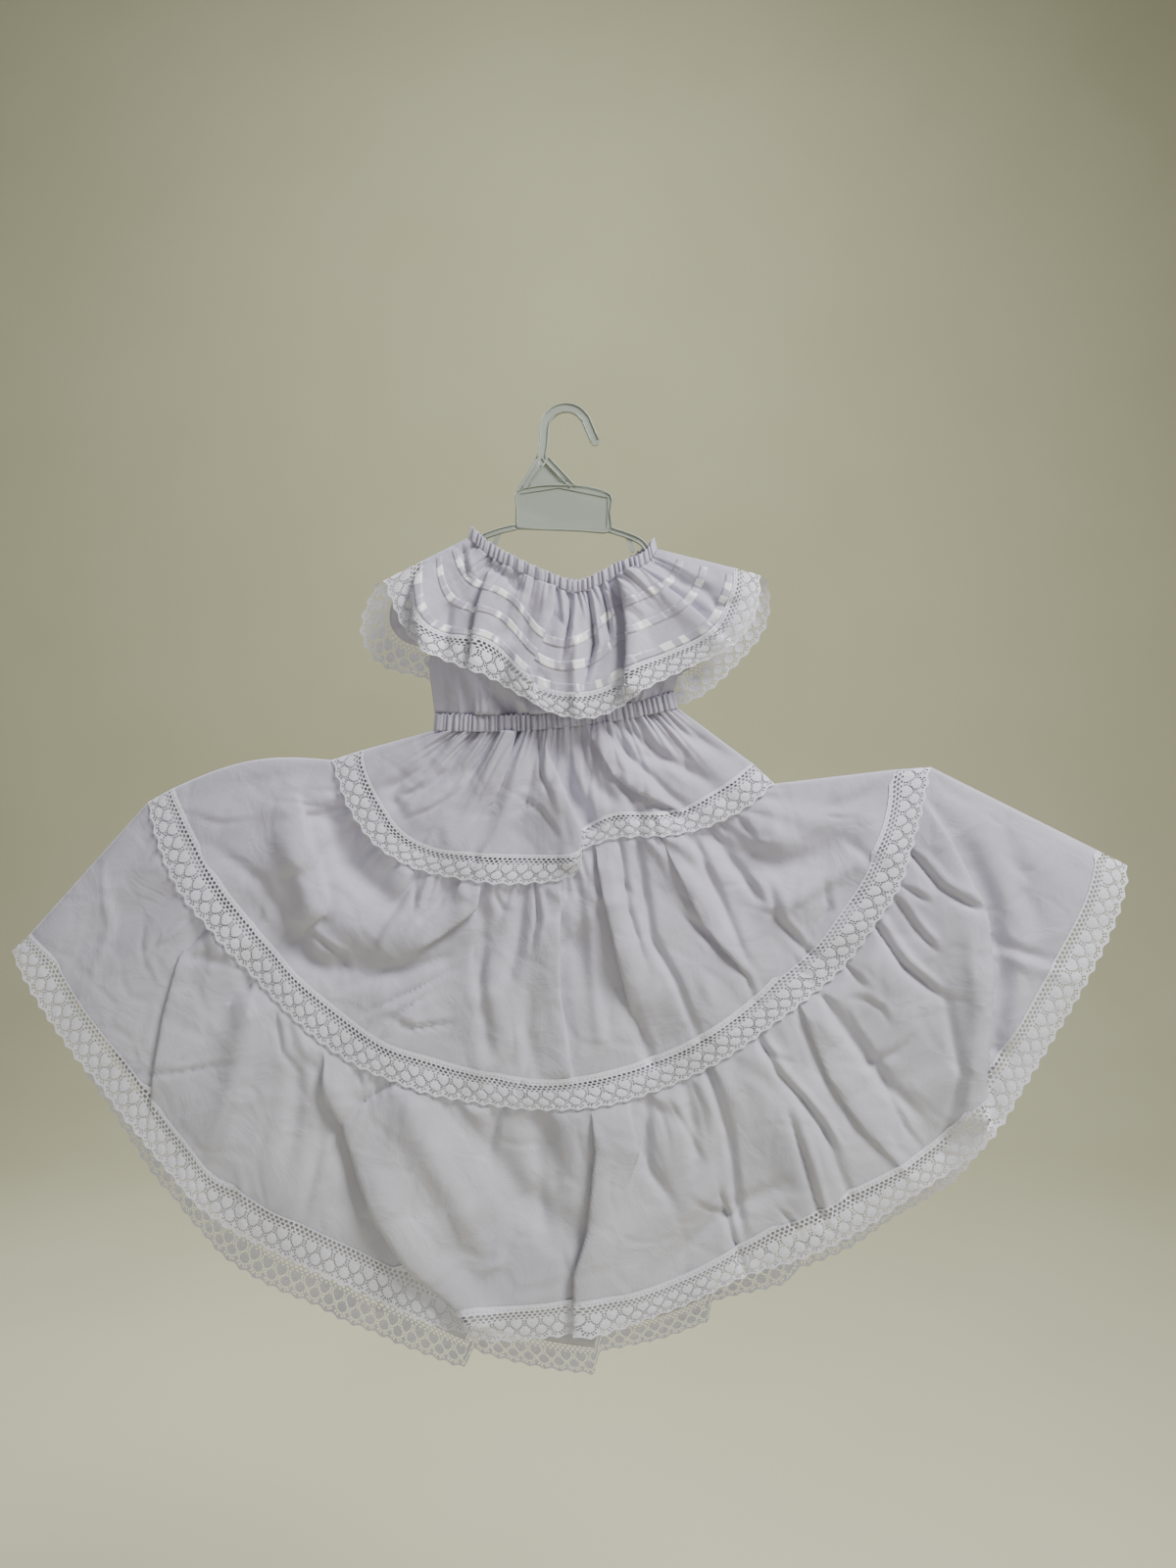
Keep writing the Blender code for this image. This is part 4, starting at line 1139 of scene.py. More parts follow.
@dataclass(frozen=True)
class LacePattern:
    """One repeat of the scalloped lace: a net of small holes, two rows of round blossoms and a fan."""

    repeat: float = 11.3
    width: float = 25.0
    blossoms: tuple[tuple[float, float], ...] = ((0.5, 12.1), (0.0, 17.1), (1.0, 17.1))
    blossom_radius: float = 3.5
    blossom_lift: float = 0.3
    # Rows of mesh holes under the heading: (down, half width, half height)
    mesh_rows: tuple[tuple[float, float, float], ...] = (
        (4.1, 1.5, 1.05), (6.25, 1.5, 1.05), (8.2, 1.15, 0.75),
    )
    # One side of the fan of small holes; the other side mirrors it
    fan: Line = (
        (1.0, 10.1), (1.0, 11.75), (1.85, 13.4), (2.85, 14.65), (4.1, 15.65), (4.35, 17.35),
        (3.95, 19.05), (2.55, 20.25), (0.9, 20.95), (1.9, 22.3), (3.75, 21.4),
    )
    fan_hole: float = 0.8
    # Share of the lace that is thread and not hole
    solid: float = 0.72

    def holes(self) -> list[tuple[float, float, float, float]]:
        """Return the holes as (across, down, half width, half height)."""
        third = self.repeat / 3.0
        rows = []
        for number, (down, half_width, half_height) in enumerate(self.mesh_rows):
            start = third / 2.0 if number % 2 == 0 else 0.0
            rows += [(start + third * step, down, half_width, half_height) for step in range(3)]
        # Rings of holes between the blossoms, then the fan below the lower row
        rows += [(self.repeat, 13.3, 0.8, 0.8), (5.65, 16.2, 0.8, 0.8), (5.65, 18.2, 0.75, 0.75)]
        for x, down in self.fan:
            rows += [(place, down, self.fan_hole, self.fan_hole) for place in (x, self.repeat - x)]
        return rows

    def outline(self) -> list[tuple[float, float]]:
        """Return the closed outline of one repeat, whose two sides match."""
        side = (
            (0.0, 0.0), (0.0, 2.8), (0.0, 4.9), (-self.repeat / 6.0, 5.7), (-self.repeat / 6.0, 6.8),
            (0.0, 7.6), (0.0, 9.0), (0.0, 12.2), (0.92, 12.9), (0.92, 13.7), (0.0, 14.3), (0.0, 15.8),
            (0.0, 17.1), (0.0, 19.0), (0.0, 21.9), (0.0, 23.4),
        )
        foot = [
            (self.repeat * share, self.width - 1.8 * float(np.sin(np.pi * share)) ** 1.6)
            for share in (0.0, 0.12, 0.25, 0.38, 0.5, 0.62, 0.75, 0.88, 1.0)
        ]
        other = [(x + self.repeat, down) for x, down in side]
        return list(side) + foot + other[::-1] + [(self.repeat / 2.0, 0.0)]

    def blossom_rings(self) -> list[tuple[float, float]]:
        """Return extra points that let the blossoms rise."""
        points = []
        for share, down in self.blossoms:
            for step in range(6):
                angle = np.pi * (step + 0.5) / 3.0
                spot = (
                    share * self.repeat + 0.62 * self.blossom_radius * float(np.cos(angle)),
                    down + 0.5 * self.blossom_radius * float(np.sin(angle)),
                )
                if 0.3 < spot[0] < self.repeat - 0.3:
                    points.append(spot)
        points.append((self.blossoms[0][0] * self.repeat, self.blossoms[0][1]))
        return points

    def height(self, x: float, down: float) -> float:
        """Return how far a point stands off the net."""
        best = 0.0
        for share, centre in self.blossoms:
            reach = ((x - share * self.repeat) / self.blossom_radius) ** 2
            reach += ((down - centre) / (0.85 * self.blossom_radius)) ** 2
            best = max(best, 1.0 - reach)
        return best * self.blossom_lift

    def tile(self) -> bpy.types.Object:
        """Build one repeat with its holes as a flat mesh from 0 to 1 each way."""
        loops = [self.outline()]
        turns = [np.pi * step / 3.0 for step in range(6)]
        for x, down, half_width, half_height in self.holes():
            loops.append([
                (x + half_width * float(np.cos(turn)), down + half_height * float(np.sin(turn)))
                for turn in turns
            ])
        points = [point for loop in loops for point in loop]
        starts = np.cumsum([0] + [len(loop) for loop in loops])
        rings = [tuple(range(start, start + len(loop))) for start, loop in zip(starts.tolist(), loops)]
        points += self.blossom_rings()
        vertices, _, faces, *_ = delaunay_2d_cdt([Vector(point) for point in points], [], rings, 2, 1e-5)
        corners = [(v.x / self.repeat, v.y / self.width, self.height(v.x, v.y) * MM) for v in vertices]
        made = new_mesh("lace_repeat", corners, [tuple(face) for face in faces])
        return new_object("lace_repeat", made)


@dataclass(frozen=True)
class StitchPattern:
    """One stitch of a straight machine seam, as a small rounded bar of thread."""

    share: float = 0.66
    down: float = 0.07
    half_height: float = 0.011
    lift: float = 0.45

    def tile(self) -> bpy.types.Object:
        """Build the stitch as a mesh from 0 to 1 along the seam."""
        low, high = 0.5 - self.share / 2.0, 0.5 + self.share / 2.0
        tuck = (high - low) * 0.16
        base = [
            (low, 0.0), (low + tuck, -1.0), (high - tuck, -1.0), (high, 0.0), (high - tuck, 1.0),
            (low + tuck, 1.0),
        ]
        top = [(low + tuck, 0.0), (high - tuck, 0.0)]
        points = [(x, self.down + y * self.half_height, 0.0) for x, y in base]
        points += [(x, self.down + y * self.half_height, self.lift * MM) for x, y in top]
        faces = [(0, 1, 6), (1, 2, 7, 6), (2, 3, 7), (3, 4, 7), (4, 5, 6, 7), (5, 0, 6)]
        return new_object("stitch", new_mesh("stitch", points, faces))


@dataclass(frozen=True)
class Finishes:
    """The materials of the dress."""

    cotton: bpy.types.Material
    lace: bpy.types.Material
    satin: bpy.types.Material
    thread: bpy.types.Material


@dataclass(frozen=True)
class Workbench:
    """What every sewn part is made with."""

    finishes: Finishes
    edging: EdgingTree
    pattern: LacePattern
    lace_tile: bpy.types.Object
    stitch: StitchPattern
    stitch_tile: bpy.types.Object
    stitch_length: float = 3.0


def hand_over(
    piece: bpy.types.Object, node: str | None = None,
) -> bpy.types.Object:
    """Fix a finished piece to the frame and report it.

    Args:
        piece: The piece.
        node: The node that it stands for.

    Returns:
        The same piece.
    """
    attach(piece, "root")
    if node:
        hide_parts(node)
    LOG.info("%s: %d vertices", piece.name, len(piece.data.vertices))
    return piece


def add_lace(
    bench: Workbench, name: str, points: np.ndarray, share: np.ndarray, side: Side, length: float,
) -> tuple[bpy.types.Object, bpy.types.Object]:
    """Lay lace and its row of stitches along a strip.

    Args:
        bench: What it is made with.
        name: Name of the lace.
        points: The strip's points in millimetres, from its heading to its edge.
        share: Share across of each point.
        side: The side of the dress.
        length: Length of the strip in millimetres.

    Returns:
        The lace and the stitches.
    """
    flat = np.stack((share, np.array(LACE_DOWN)[:, None] * np.ones(share.shape[1])), axis=-1)
    carrier = sheet_object(f"{name}_carrier", points, flat, side, bench.finishes.lace, 0.0)
    lace = bench.edging.lay(
        name, carrier, bench.lace_tile, round(length / bench.pattern.repeat), bench.finishes.lace,
    )
    stitches = bench.edging.lay(
        f"{name}_stitches", carrier, bench.stitch_tile, round(length / bench.stitch_length),
        bench.finishes.thread,
    )
    bpy.data.objects.remove(carrier)
    return lace, stitches


def grid(
    levels: np.ndarray, columns: int, low: float = 0.0, high: float = 1.0,
) -> tuple[np.ndarray, np.ndarray]:
    """Return levels and shares across as two grids."""
    return np.meshgrid(levels, np.linspace(low, high, columns + 1), indexing="ij")


def soft_least(first: np.ndarray, second: np.ndarray, round_off: float = 0.7) -> np.ndarray:
    """Return the lower of two heights with a rounded change from one to the other."""
    lower, upper = np.minimum(first, second), np.maximum(first, second)
    return lower - round_off * np.log1p(np.exp(-(upper - lower) / round_off))


@dataclass
class Panel:
    """What every part of one side of the dress has in common."""

    side: Side
    bench: Workbench
    wall: float = 0.45

    def base(self, level: np.ndarray, share: np.ndarray) -> tuple[np.ndarray, np.ndarray, np.ndarray]:
        """Return the smooth places, row lengths and half depths."""
        raise NotImplementedError

    def spot(self, level: float, share: float) -> np.ndarray:
        """Return one smooth place."""
        return self.base(np.array([level]), np.array([share]))[0][0]

    def cloth(
        self, name: str, points: np.ndarray, flat: np.ndarray, wall: float | None = None,
    ) -> bpy.types.Object:
        """Make a piece of cotton from its points in millimetres and its UV map in metres."""
        return sheet_object(
            f"{name}_cloth_{self.side.value}", points, flat, self.side, self.bench.finishes.cotton,
            wall or self.wall,
        )


@dataclass
class Skirt(Panel):
    """Three gathered tiers, each with lace on its foot, on one side of the dress."""

    heading: float = 3.0
    lace_lift: float = 0.9
    layer_gap: float = 1.25
    heads: tuple[float, ...] = (0.0, 1.0, 3.0)
    feet: tuple[float, ...] = (1.0, 3.0, 5.0)
    lace_names: tuple[str, ...] = ("lace_1", "lace_2", "hem_lace")
    reliefs: list[Relief] = field(default_factory=list)

    def __post_init__(self) -> None:
        """Choose the side's creases, gathers and wrinkles."""
        hand = self.side.pick(
            (TIER_1_CREASES, TIER_2_CREASES, TIER_3_CREASES),
            (BACK_TIER_1_CREASES, BACK_TIER_2_CREASES, BACK_TIER_3_CREASES),
        )
        seed = self.side.seed
        gathers = (
            (Gathers(46, 2.6, 30.0, 11 + seed, 0.24), Gathers(13, 2.8, 80.0, 12 + seed, 0.2)),
            (
                Gathers(56, 2.9, 24.0, 21 + seed), Gathers(19, 3.2, 90.0, 22 + seed, 0.16),
                Gathers(11, 3.0, 240.0, 23 + seed, 0.24),
            ),
            (
                Gathers(64, 2.6, 20.0, 31 + seed), Gathers(19, 3.2, 90.0, 32 + seed, 0.14),
                Gathers(12, 3.4, 260.0, 33 + seed, 0.22),
            ),
        )
        wrinkles = (
            Wrinkles(26, (14.0, 34.0), (0.7, 1.9), 41 + seed),
            Wrinkles(58, (18.0, 52.0), (0.7, 2.1), 42 + seed),
            Wrinkles(54, (24.0, 74.0), (0.7, 2.0), 43 + seed),
        )
        for number in range(3):
            small = wrinkles[number].creases(self.spot, self.heads[number], self.feet[number])
            self.reliefs.append(Relief(hand[number] + small, gathers[number]))

    def base(self, level: np.ndarray, share: np.ndarray) -> tuple[np.ndarray, np.ndarray, np.ndarray]:
        """Return the smooth places, row lengths and half depths."""
        place, length, depth = between(SKIRT_EDGES, level, share, SKIRT_DEPTHS[self.side])
        arch = np.sin(np.pi * np.clip(level - 2.0, 0.0, 1.0)) * np.exp(-(share / 0.11) ** 2)
        place[..., 1] -= TIER_2_ARCH * arch
        if self.side is Side.FRONT:
            steps = np.array(TIER_1_STEP, dtype=float)
            near = np.interp(level, (0.3, 0.9, 2.0, 2.4), (0.0, 1.0, 1.0, 0.0))
            place[..., 1] += near * np.interp(place[..., 0], steps[:, 0], steps[:, 1])
        else:
            drop = np.interp(level, np.arange(len(BACK_DROPS)), BACK_DROPS)
            place[..., 1] += drop * np.sin(np.pi * share)
            steps = np.array(BACK_HEM_STEPS, dtype=float)
            low = np.clip((level - 3.0) / 2.0, 0.0, 1.0) ** 2
            low *= np.clip(24.0 * share * (1.0 - share), 0.0, 1.0)
            place[..., 1] += low * np.interp(place[..., 0], steps[:, 0], steps[:, 1])
        return place, length, depth

    def layer(self, number: int, level: np.ndarray, share: np.ndarray) -> tuple[np.ndarray, np.ndarray]:
        """Return the places and the distance off the middle plane of one layer of cloth."""
        place, length, depth = self.base(level, share)
        room = roundness(share)
        damp = damping(room)
        head = self.base(np.full(level.shape, self.heads[number]), share)[0]
        fall = size_of(place - head) * np.sign(level - self.heads[number])
        rise, shift = self.reliefs[number].field(place, share, fall, length)
        stand = SIDE_HALF_GAP + depth * room + rise * damp
        if number > 0:
            upper_head = self.base(np.full(level.shape, self.heads[number - 1]), share)[0]
            upper_fall = size_of(place - upper_head)
            upper_rise, upper_shift = self.reliefs[number - 1].field(place, share, upper_fall, length)
            upper = SIDE_HALF_GAP + depth * room + upper_rise * damp
            edge = self.base(np.full(level.shape, self.heads[number] + 1.0), share)[0]
            below = np.clip(fall - size_of(edge - head), 0.0, None)
            gap = self.layer_gap * np.clip(3.0 * room, 0.0, 1.0)
            stand = soft_least(stand, upper - gap + 0.42 * below, 0.25)
            covered = np.exp(-(below / 10.0) ** 2)[..., None]
            shift = shift * (1.0 - 0.7 * covered) + 0.5 * upper_shift * covered
        return place + shift * damp[..., None], np.maximum(stand, LEAST_STAND)

    def foot_level(self, number: int, share: np.ndarray) -> np.ndarray:
        """Return the level of a tier's foot, lower where its lace would be wider than it is made."""
        foot = self.feet[number]
        seam, edge = (self.base(np.full(share.shape, level), share)[0] for level in (foot, foot + 1.0))
        room = size_of(edge - seam)
        return foot + np.clip(1.0 - self.bench.pattern.width * 1.04 / room, 0.0, 0.5)

    def levels(self, number: int, rows: int) -> np.ndarray:
        """Return a tier's rows, evenly spaced down the cloth."""
        head, foot = self.heads[number], self.feet[number]
        if number == 0:
            return np.linspace(head - 0.01, foot, rows)
        covered = max(4, rows // 8)
        return np.concatenate((
            np.linspace(head - 0.012, head + 1.0, covered), np.linspace(head + 1.0, foot, rows - covered)[1:],
        ))

    def tier(self, number: int, columns: int, rows: int) -> bpy.types.Object:
        """Make one tier."""
        level, share = grid(self.levels(number, rows), columns)
        foot = self.feet[number]
        level = level + (self.foot_level(number, share) - foot) * np.clip(level - foot + 1.0, 0.0, 1.0)
        place, stand = self.layer(number, level, share)
        points = points_of(place, stand, self.side)
        width = measured(SKIRT_EDGES[int(self.feet[number])])[1][-1]
        fall = np.concatenate((
            np.zeros((1, columns + 1)),
            np.cumsum(size_of(np.diff(place, axis=0)), axis=0),
        ))
        flat = np.stack((share * width, fall), axis=-1) * MM
        return self.cloth(f"tier_{number + 1}", points, flat)

    def lace(self, number: int, columns: int) -> tuple[bpy.types.Object, bpy.types.Object]:
        """Make the lace and stitches on one tier's foot."""
        foot = self.feet[number]
        above = self.heading / 100.0 * (foot - self.heads[number] if number == 0 else 1.0)
        part, share = grid(np.array((-above, 0.0, 0.35, 0.7, 1.0)), columns)
        start = self.foot_level(number, share)
        level = start + np.where(part < 0.0, part, part * (foot + 1.0 - start))
        place, stand = self.layer(number, level, share)
        points = points_of(place, stand + self.lace_lift, self.side)
        length = measured(SKIRT_EDGES[int(foot) + 1])[1][-1]
        return add_lace(
            self.bench, f"{self.lace_names[number]}_net_{self.side.value}", points, share, self.side, length,
        )

    def build(self) -> None:
        """Make the whole side of the skirt and fix it to the frame."""
        sizes = self.side.pick(((340, 38), (440, 56), (520, 60)), ((200, 26), (260, 34), (320, 38)))
        side = self.side.value
        for number, (columns, rows) in enumerate(sizes):
            cloth = self.tier(number, columns, rows)
            lace, stitches = self.lace(number, columns)
            hand_over(stitches)
            hand_over(
                lace, f"{self.lace_names[number]}_{side}",
            )
            tier = f"tier_{number + 1}"
            hand_over(cloth, f"{tier}_{side}")


@dataclass
class Collar(Panel):
    """The wide collar ruffle with its three ribbons and its lace, on one side of the dress."""

    ribbon_wall: float = 0.25
    ribbon_rows: tuple[tuple[float, float], ...] = ((0.27, 0.36), (0.55, 0.64), (0.86, 0.95))
    ribbon_dips: tuple[float, ...] = (0.2, 0.13, 0.02)
    ribbon_lift: float = 0.45
    ribbon_width: float = 6.5
    lace_lift: float = 0.9
    # Width of the ruffle laid flat
    flat_width: float = 70.0
    relief: Relief = field(init=False)

    def __post_init__(self) -> None:
        """Choose the side's edges, creases and gathers."""
        self.edges = self.side.pick(
            (NECK_BOTTOM, COLLAR_SEAM, COLLAR_EDGE),
            (BACK_NECK_BOTTOM, BACK_COLLAR_SEAM, BACK_COLLAR_EDGE),
        )
        seed = self.side.seed
        small = Wrinkles(22, (10.0, 26.0), (0.3, 0.9), 44 + seed).creases(self.spot, 0.1, 1.0)
        self.relief = Relief(
            self.side.pick(COLLAR_CREASES, BACK_COLLAR_CREASES) + small,
            (Gathers(38, 1.9, 16.0, 61 + seed, 0.24), Gathers(12, 3.2, 60.0, 62 + seed, 0.2)), swell=1.2,
            deepen=1.6,
        )

    def base(self, height: np.ndarray, share: np.ndarray) -> tuple[np.ndarray, np.ndarray, np.ndarray]:
        """Return the smooth places, row lengths and half depths."""
        depths = (NECK_DEPTH[self.side], COLLAR_DEPTH[self.side], COLLAR_LACE_DEPTH[self.side])
        return between(self.edges, height, share, depths)

    def points(self, height: np.ndarray, share: np.ndarray, lift: float = 0.0) -> np.ndarray:
        """Return points of the collar or of what lies on it."""
        place, length, depth = self.base(height, share)
        room = roundness(share)
        damp = damping(room)
        head = self.base(np.zeros(height.shape), share)[0]
        fall = size_of(place - head)
        rise, shift = self.relief.field(place, share, fall, length)
        stand = np.maximum(SIDE_HALF_GAP + depth * room + rise * damp, LEAST_STAND) + lift
        return points_of(place + shift * damp[..., None], stand, self.side)

    def ribbon(self, number: int, columns: int) -> bpy.types.Object:
        """Make one ribbon."""
        low, high = self.ribbon_rows[number]
        across, share = grid(np.linspace(0.0, 1.0, 5), columns, 0.02, 0.98)
        dip = self.ribbon_dips[number] * np.exp(-((share - 0.47) / 0.13) ** 2)
        height = low + (high - low) * across + dip
        length = float(self.base(height[2:3], share[2:3])[1].mean())
        flat = np.stack((share * length, across * self.ribbon_width), axis=-1) * MM
        return sheet_object(
            f"ribbon_{number + 1}_satin_{self.side.value}", self.points(height, share, self.ribbon_lift),
            flat, self.side, self.bench.finishes.satin, self.ribbon_wall,
        )

    def build(self) -> None:
        """Make the collar's side and fix it to the frame."""
        side = self.side.value
        columns, rows = self.side.pick((420, 46), (260, 26))
        height, share = grid(np.linspace(0.0, 1.0, rows), columns)
        length = measured(self.edges[1])[1][-1]
        flat = np.stack((share * length, height * self.flat_width), axis=-1) * MM
        cloth = self.cloth("collar", self.points(height, share), flat)
        height, share = grid(np.array((0.955, 1.0, 1.35, 1.7, 2.0)), columns)
        lace, stitches = add_lace(
            self.bench, f"collar_net_{side}", self.points(height, share, self.lace_lift), share, self.side,
            measured(self.edges[2])[1][-1],
        )
        ribbons = [self.ribbon(number, columns) for number in range(3)]
        hand_over(stitches)
        hand_over(
            lace, f"collar_lace_{side}",
        )
        for number, ribbon in enumerate(ribbons, start=1):
            hand_over(ribbon, f"ribbon_{number}_{side}")
        hand_over(cloth, f"collar_ruffle_{side}")


@dataclass
class Bodice(Panel):
    """The bodice with its elastic casings at the neck and the waist, on one side of the dress."""

    casing_wall: float = 0.6
    neck_inset: float = 0.045
    # How far the panel's head lies under the neck casing: at the middle, and everywhere
    under_neck: tuple[float, float] = (1.8, 1.4)
    rows: tuple[float, ...] = (0.0, 0.25, 0.5, 0.75, 1.0)
    swells: tuple[float, ...] = (0.0, 7.0, 18.0, 11.0, 0.0)
    side_gaps: tuple[float, ...] = (2.0, 4.4, 0.8, 0.6, 0.45)
    puff: float = 0.6
    frill: float = 0.9
    # The panel's mean row length and its drop, and its length and width laid flat
    row_length: float = 170.0
    drop: float = 90.0
    flat_size: tuple[float, float] = (180.0, 95.0)
    least_stand: float = 0.3
    casing_stitch: float = 2.4
    # Length and width of a casing's UV map in metres
    casing_flat: tuple[float, float] = (0.3, 0.012)

    def body(self) -> bpy.types.Object:
        """Make the bodice panel."""
        columns, rows = self.side.pick((160, 36), (120, 26))
        height, share = grid(np.linspace(0.0, 1.0, rows), columns)
        neck = self.side.pick(NECK_BOTTOM, BACK_NECK_BOTTOM)
        neck_share = self.neck_inset + (1.0 - 2.0 * self.neck_inset) * share
        top, foot = along(neck, neck_share), along(WAIST_TOP, share)
        place = top + (foot - top) * height[..., None]
        place[..., 0] += np.interp(height, self.rows, self.swells) * (2.0 * share - 1.0)
        length = np.full(height.shape, self.row_length)
        seed = self.side.seed
        folds = (Gathers(34, 1.5, 14.0, 71 + seed), Gathers(9, 2.6, 90.0, 72 + seed, 0.22))
        fall = height * self.drop
        rise = sum(row.rise(share, (1.0 - height) * self.drop, length) for row in folds)
        rise = rise + Gathers(30, 1.0, 10.0, 73 + seed).rise(share, fall, length)
        by_hand = Relief(self.side.pick(BODICE_CREASES, BACK_BODICE_CREASES), (), swell=0.6)
        rise = rise + by_hand.field(place, share, fall, length)[0]
        neck_depth = NECK_DEPTH[self.side] - self.under_neck[0]
        neck_room = SIDE_HALF_GAP + neck_depth * roundness(neck_share) - self.under_neck[1]
        waist_room = SIDE_HALF_GAP + WAIST_DEPTH[self.side] * roundness(share)
        stand = neck_room + (waist_room - neck_room) * height
        stand = stand + rise * damping(roundness(share)) * np.clip(8.0 * height, 0.3, 1.0)
        near_side = np.exp(-(np.minimum(share, 1.0 - share) / 0.045) ** 2)
        stand = stand + (np.interp(height, self.rows, self.side_gaps) - stand) * near_side
        flat = np.stack((share * self.flat_size[0], height * self.flat_size[1]), axis=-1) * MM
        points = points_of(place, np.maximum(stand, self.least_stand), self.side)
        return self.cloth("bodice", points, flat)

    def casing(
        self, name: str, edges: tuple[Line, Line], depth: float, gathers: Gathers,
    ) -> tuple[bpy.types.Object, bpy.types.Object]:
        """Make one gathered casing and the row of stitches below its elastic."""
        columns = self.side.pick(420, 300)
        height, share = grid(np.linspace(0.0, 1.0, 11), columns)
        place, length, _ = between(edges, height, share, (depth, depth))
        room = roundness(share)
        rise = gathers.rise(share, np.zeros(height.shape), length)
        stand = SIDE_HALF_GAP + depth * room
        stand = stand + (rise + self.puff * np.sin(np.pi * height)) * np.clip(2.0 * room, 0.1, 1.0)
        place[..., 1] += self.frill * (0.5 * rise + 0.4 * np.sin(share * 311.0)) * (1.0 - height) ** 3
        flat = np.stack((share, height), axis=-1)
        points = points_of(place, np.maximum(stand, 0.35), self.side)
        carrier = sheet_object(f"{name}_carrier", points, flat, self.side, self.bench.finishes.cotton, 0.0)
        stitches = self.bench.edging.lay(
            f"{name}_stitches_{self.side.value}", carrier, self.bench.stitch_tile,
            round(measured(edges[0])[1][-1] / self.casing_stitch), self.bench.finishes.thread,
        )
        bpy.data.objects.remove(carrier)
        return self.cloth(name, points, flat * np.array(self.casing_flat), self.casing_wall), stitches

    def build(self) -> None:
        """Make the bodice and the casings and fix them to the frame."""
        side = self.side.value
        seed = self.side.seed
        neck_edges = self.side.pick((NECK_TOP, NECK_BOTTOM), (BACK_NECK_TOP, BACK_NECK_BOTTOM))
        neck, neck_stitches = self.casing(
            "neck_casing", neck_edges, NECK_DEPTH[self.side], Gathers(38, 1.9, 900.0, 61 + seed, 0.24),
        )
        waist, waist_stitches = self.casing(
            "waist_casing", (WAIST_TOP, WAIST_BOTTOM), WAIST_DEPTH[self.side],
            Gathers(46, 2.6, 900.0, 11 + seed, 0.24),
        )
        body = self.body()
        hand_over(neck_stitches)
        hand_over(waist_stitches)
        for name, casing, above, stitches in (
            ("neck_casing", neck, "hanger", neck_stitches),
            ("waist_casing", waist, body.name, waist_stitches),
        ):
            hand_over(casing, f"{name}_{side}")
        hand_over(body, f"bodice_{side}")


@dataclass(frozen=True)
class Studio:
    """A pale floor that sweeps up into a backdrop, with soft lights and the camera."""

    floor_height: float = -1.25
    back: float = 3.2
    half_width: float = 4.5
    bend: float = 1.1
    camera_place: tuple[float, float, float] = (0.0156, -0.811, -0.266)
    lens: float = 26.0

    def sweep(self) -> bpy.types.Object:
        """Make the floor and backdrop as one bent sheet."""
        turns = np.linspace(0.0, np.pi / 2.0, 13)
        profile = [(-3.2, self.floor_height), (-1.0, self.floor_height), (1.0, self.floor_height)]
        profile += [
            (
                self.back - self.bend + self.bend * float(np.sin(turn)),
                self.floor_height + self.bend - self.bend * float(np.cos(turn)),
            )
            for turn in turns
        ]
        profile += [(self.back, 1.5), (self.back, 3.2)]
        across = np.linspace(-self.half_width, self.half_width, 9)
        points = np.array([[(x, y, z) for x in across] for y, z in profile]) / MM
        flat = np.zeros((*points.shape[:2], 2))
        made = sheet_object("studio_sweep", points, flat, Side.FRONT, PaintedBackdrop().build(), 0.0)
        return made

    def light(
        self, name: str, place: tuple[float, float, float], size: float, power: float, color: str,
        target: tuple[float, float, float] = (0.0, 0.0, -0.33),
    ) -> bpy.types.Object:
        """Add a soft square light, aimed at the middle of the dress unless told otherwise."""
        lamp = bpy.data.lights.new(name, "AREA")
        lamp.size = size
        lamp.energy = power
        lamp.color = linear(color)[:3]
        made = new_object(name, lamp)
        made.location = place
        aim = Vector(target) - Vector(place)
        made.rotation_euler = aim.to_track_quat("-Z", "Y").to_euler()
        return made

    def camera(self) -> bpy.types.Object:
        """Add the camera, square on to the dress."""
        data = bpy.data.cameras.new("camera")
        data.sensor_fit = "VERTICAL"
        data.sensor_height = 36.0
        data.lens = self.lens
        made = new_object("camera", data)
        made.location = self.camera_place
        made.rotation_euler = (np.pi / 2.0, 0.0, 0.0)
        bpy.context.scene.camera = made
        return made

    def build(self) -> None:
        """Make the studio."""
        self.sweep()
        self.light("key", (0.95, -0.74, 1.05), 0.7, 50.0, "#fefdff")
        self.light("fill", (-1.5, -1.8, 0.3), 1.6, 5.0, "#f4f6ff")
        self.light("low_fill", (0.3, -1.5, -1.05), 1.0, 5.0, "#fefdff")
        self.light("backdrop_wash", (0.0, 1.2, 1.9), 1.6, 25.0, "#fffdf6", (0.0, 3.2, 0.3))
        self.light("back_fill", (-1.0, 1.1, 1.0), 1.0, 34.0, "#fbfaff")
        world = bpy.data.worlds.new("studio_air")
        world.use_nodes = True
        air = world.node_tree.nodes["Background"]
        air.inputs["Color"].default_value = linear("#dcdcd8")
        air.inputs["Strength"].default_value = 0.27
        bpy.context.scene.world = world
        self.camera()


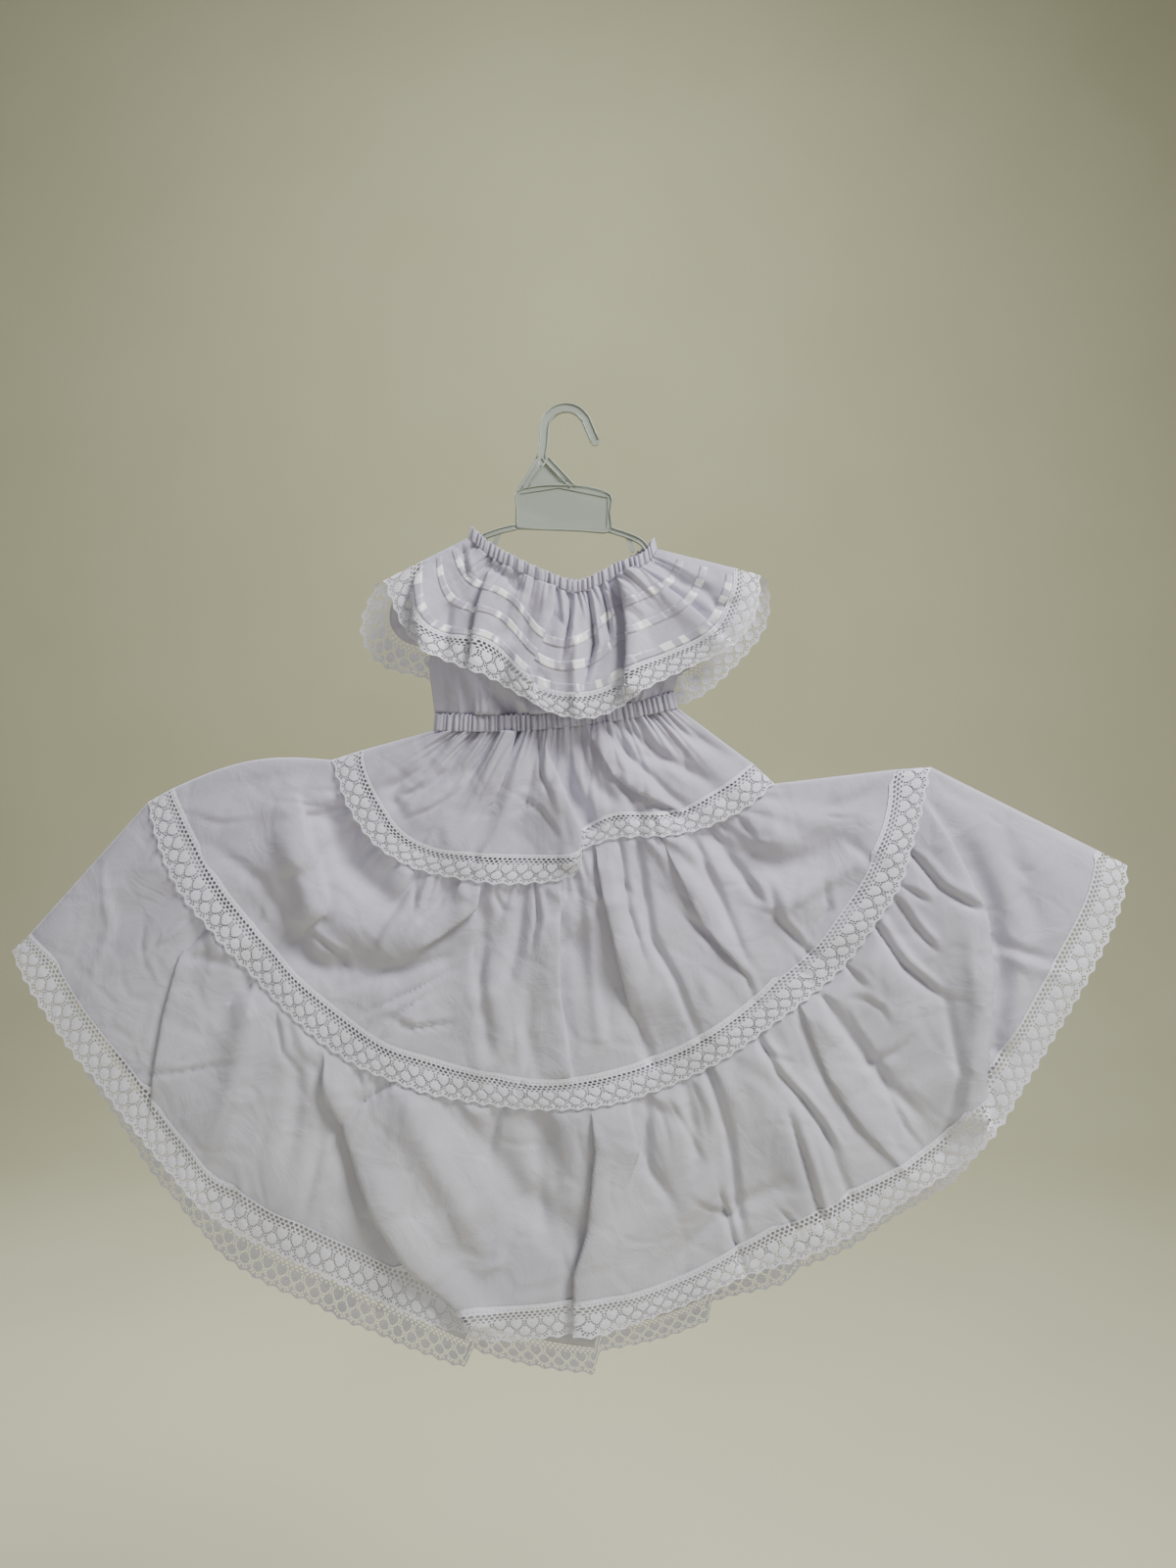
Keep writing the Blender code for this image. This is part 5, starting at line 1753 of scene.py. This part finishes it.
@dataclass(frozen=True)
class HangerRims:
    """The raised beads that a moulded hanger has along the edges of its strips and its plate."""

    finish: bpy.types.Material
    bead: float = 0.55
    stand: float = 1.35
    strip: float = 6.8
    hook: Line = (
        (-18, 33), (-16.2, 22), (-15.6, 12.2), (-13.5, 4.4), (-7.8, -1.3), (0, -3.4), (7.8, -1.3),
        (13.5, 4.4), (14.7, 6.9), (20.5, 20.5),
    )
    plate: Line = (
        (-35.4, 83), (-35.3, 70), (-35.2, 57), (-20, 52.9), (-4, 52.3), (15, 53.6), (31.6, 59.2), (31.2, 72),
        (31, 85.2), (10, 84.6), (-35.4, 83),
    )
    struts: tuple[Line, ...] = (
        ((-19, 35), (-26, 46), (-32, 55)), ((-15, 36), (-22, 46), (-27, 53.6)),
        ((-17.5, 33), (-8, 43), (3, 54)), ((-12.5, 32.6), (-3, 42.5), (7, 53.6)),
    )
    arms: tuple[Line, ...] = (
        ((-36, 82), (-48, 85), (-60, 89.6), (-66.5, 96), (-72, 101.5)),
        ((31, 84), (44, 88.2), (53.5, 92.8), (59, 99.6), (64, 106)),
    )
    arm_half: float = 1.55

    def beside(self, line: Line, off: float) -> np.ndarray:
        """Return a smooth line that runs beside another at a distance."""
        dense = smooth_line(line, 5)
        way = np.gradient(dense, axis=0)
        way /= np.hypot(way[:, 0], way[:, 1])[:, None]
        return dense + off * np.stack((way[:, 1], -way[:, 0]), axis=-1)

    def tube(self, line: np.ndarray, facing: float) -> tuple[np.ndarray, list[tuple[int, ...]]]:
        """Return the vertices and faces of one closed bead on one face of the hanger."""
        way = np.gradient(line, axis=0)
        way /= np.maximum(np.hypot(way[:, 0], way[:, 1]), 1e-9)[:, None]
        turns = np.arange(6) * np.pi / 3.0
        out, away = self.bead * np.cos(turns), self.bead * np.sin(turns)
        x = line[:, :1] + way[:, 1:] * out
        down = line[:, 1:] - way[:, :1] * out
        y = np.full(x.shape, 0.0) + facing * (self.stand + 0.2) - away
        faces = []
        for row in range(len(line) - 1):
            for corner in range(6):
                after = (corner + 1) % 6
                faces.append((row * 6 + corner, row * 6 + after, row * 6 + 6 + after, row * 6 + 6 + corner))
        faces += [tuple(range(5, -1, -1)), tuple(range(len(line) * 6 - 6, len(line) * 6))]
        return np.stack((x, y, -down), axis=-1).reshape(-1, 3), faces

    def build(self) -> None:
        """Make the beads on both faces and fix them to the frame."""
        half = self.strip / 2.0 - 0.6
        lines = [self.beside(self.hook, half), self.beside(self.hook, -half), smooth_line(self.plate, 3)]
        lines += [smooth_line(strut, 3) for strut in self.struts]
        lines += [self.beside(arm, off) for arm in self.arms for off in (self.arm_half, -self.arm_half)]
        points, faces = [], []
        for facing in (-1.0, 1.0):
            for line in lines:
                tube, tube_faces = self.tube(line, facing)
                shift = sum(len(part) for part in points)
                points.append(tube)
                faces += [tuple(corner + shift for corner in face) for face in tube_faces]
        mesh = new_mesh("hanger_rims", (np.concatenate(points) * MM).tolist(), faces, self.finish)
        builder = bmesh.new()
        builder.from_mesh(mesh)
        bmesh.ops.recalc_face_normals(builder, faces=builder.faces)
        builder.to_mesh(mesh)
        builder.free()
        hand_over(new_object("hanger_rims", mesh))


def finish_hanger() -> None:
    """Give the hanger its moulded finish and its rims."""
    hanger = frame["nodes"]["hanger"]
    finish = MouldedPolypropylene().build()
    for slot in hanger.material_slots:
        slot.material = finish
    HangerRims(finish).build()
    LOG.info("hanger: carried over with %s", finish.name)


def main() -> None:
    """Build the dress, its hanger and the studio."""
    logging.basicConfig(level=logging.INFO, format="%(message)s")
    finishes = Finishes(
        CottonPoplin().build(), PolyesterLace().build(), SatinRibbon().build(), SewingThread().build(),
    )
    pattern, stitch = LacePattern(), StitchPattern()
    bench = Workbench(finishes, EdgingTree(), pattern, pattern.tile(), stitch, stitch.tile())
    finish_hanger()
    for side in Side:
        Bodice(side, bench).build()
        Collar(side, bench).build()
        Skirt(side, bench).build()
    for tile in (bench.lace_tile, bench.stitch_tile):
        bpy.data.objects.remove(tile)
    Studio().build()


if __name__ == "__main__":
    main()
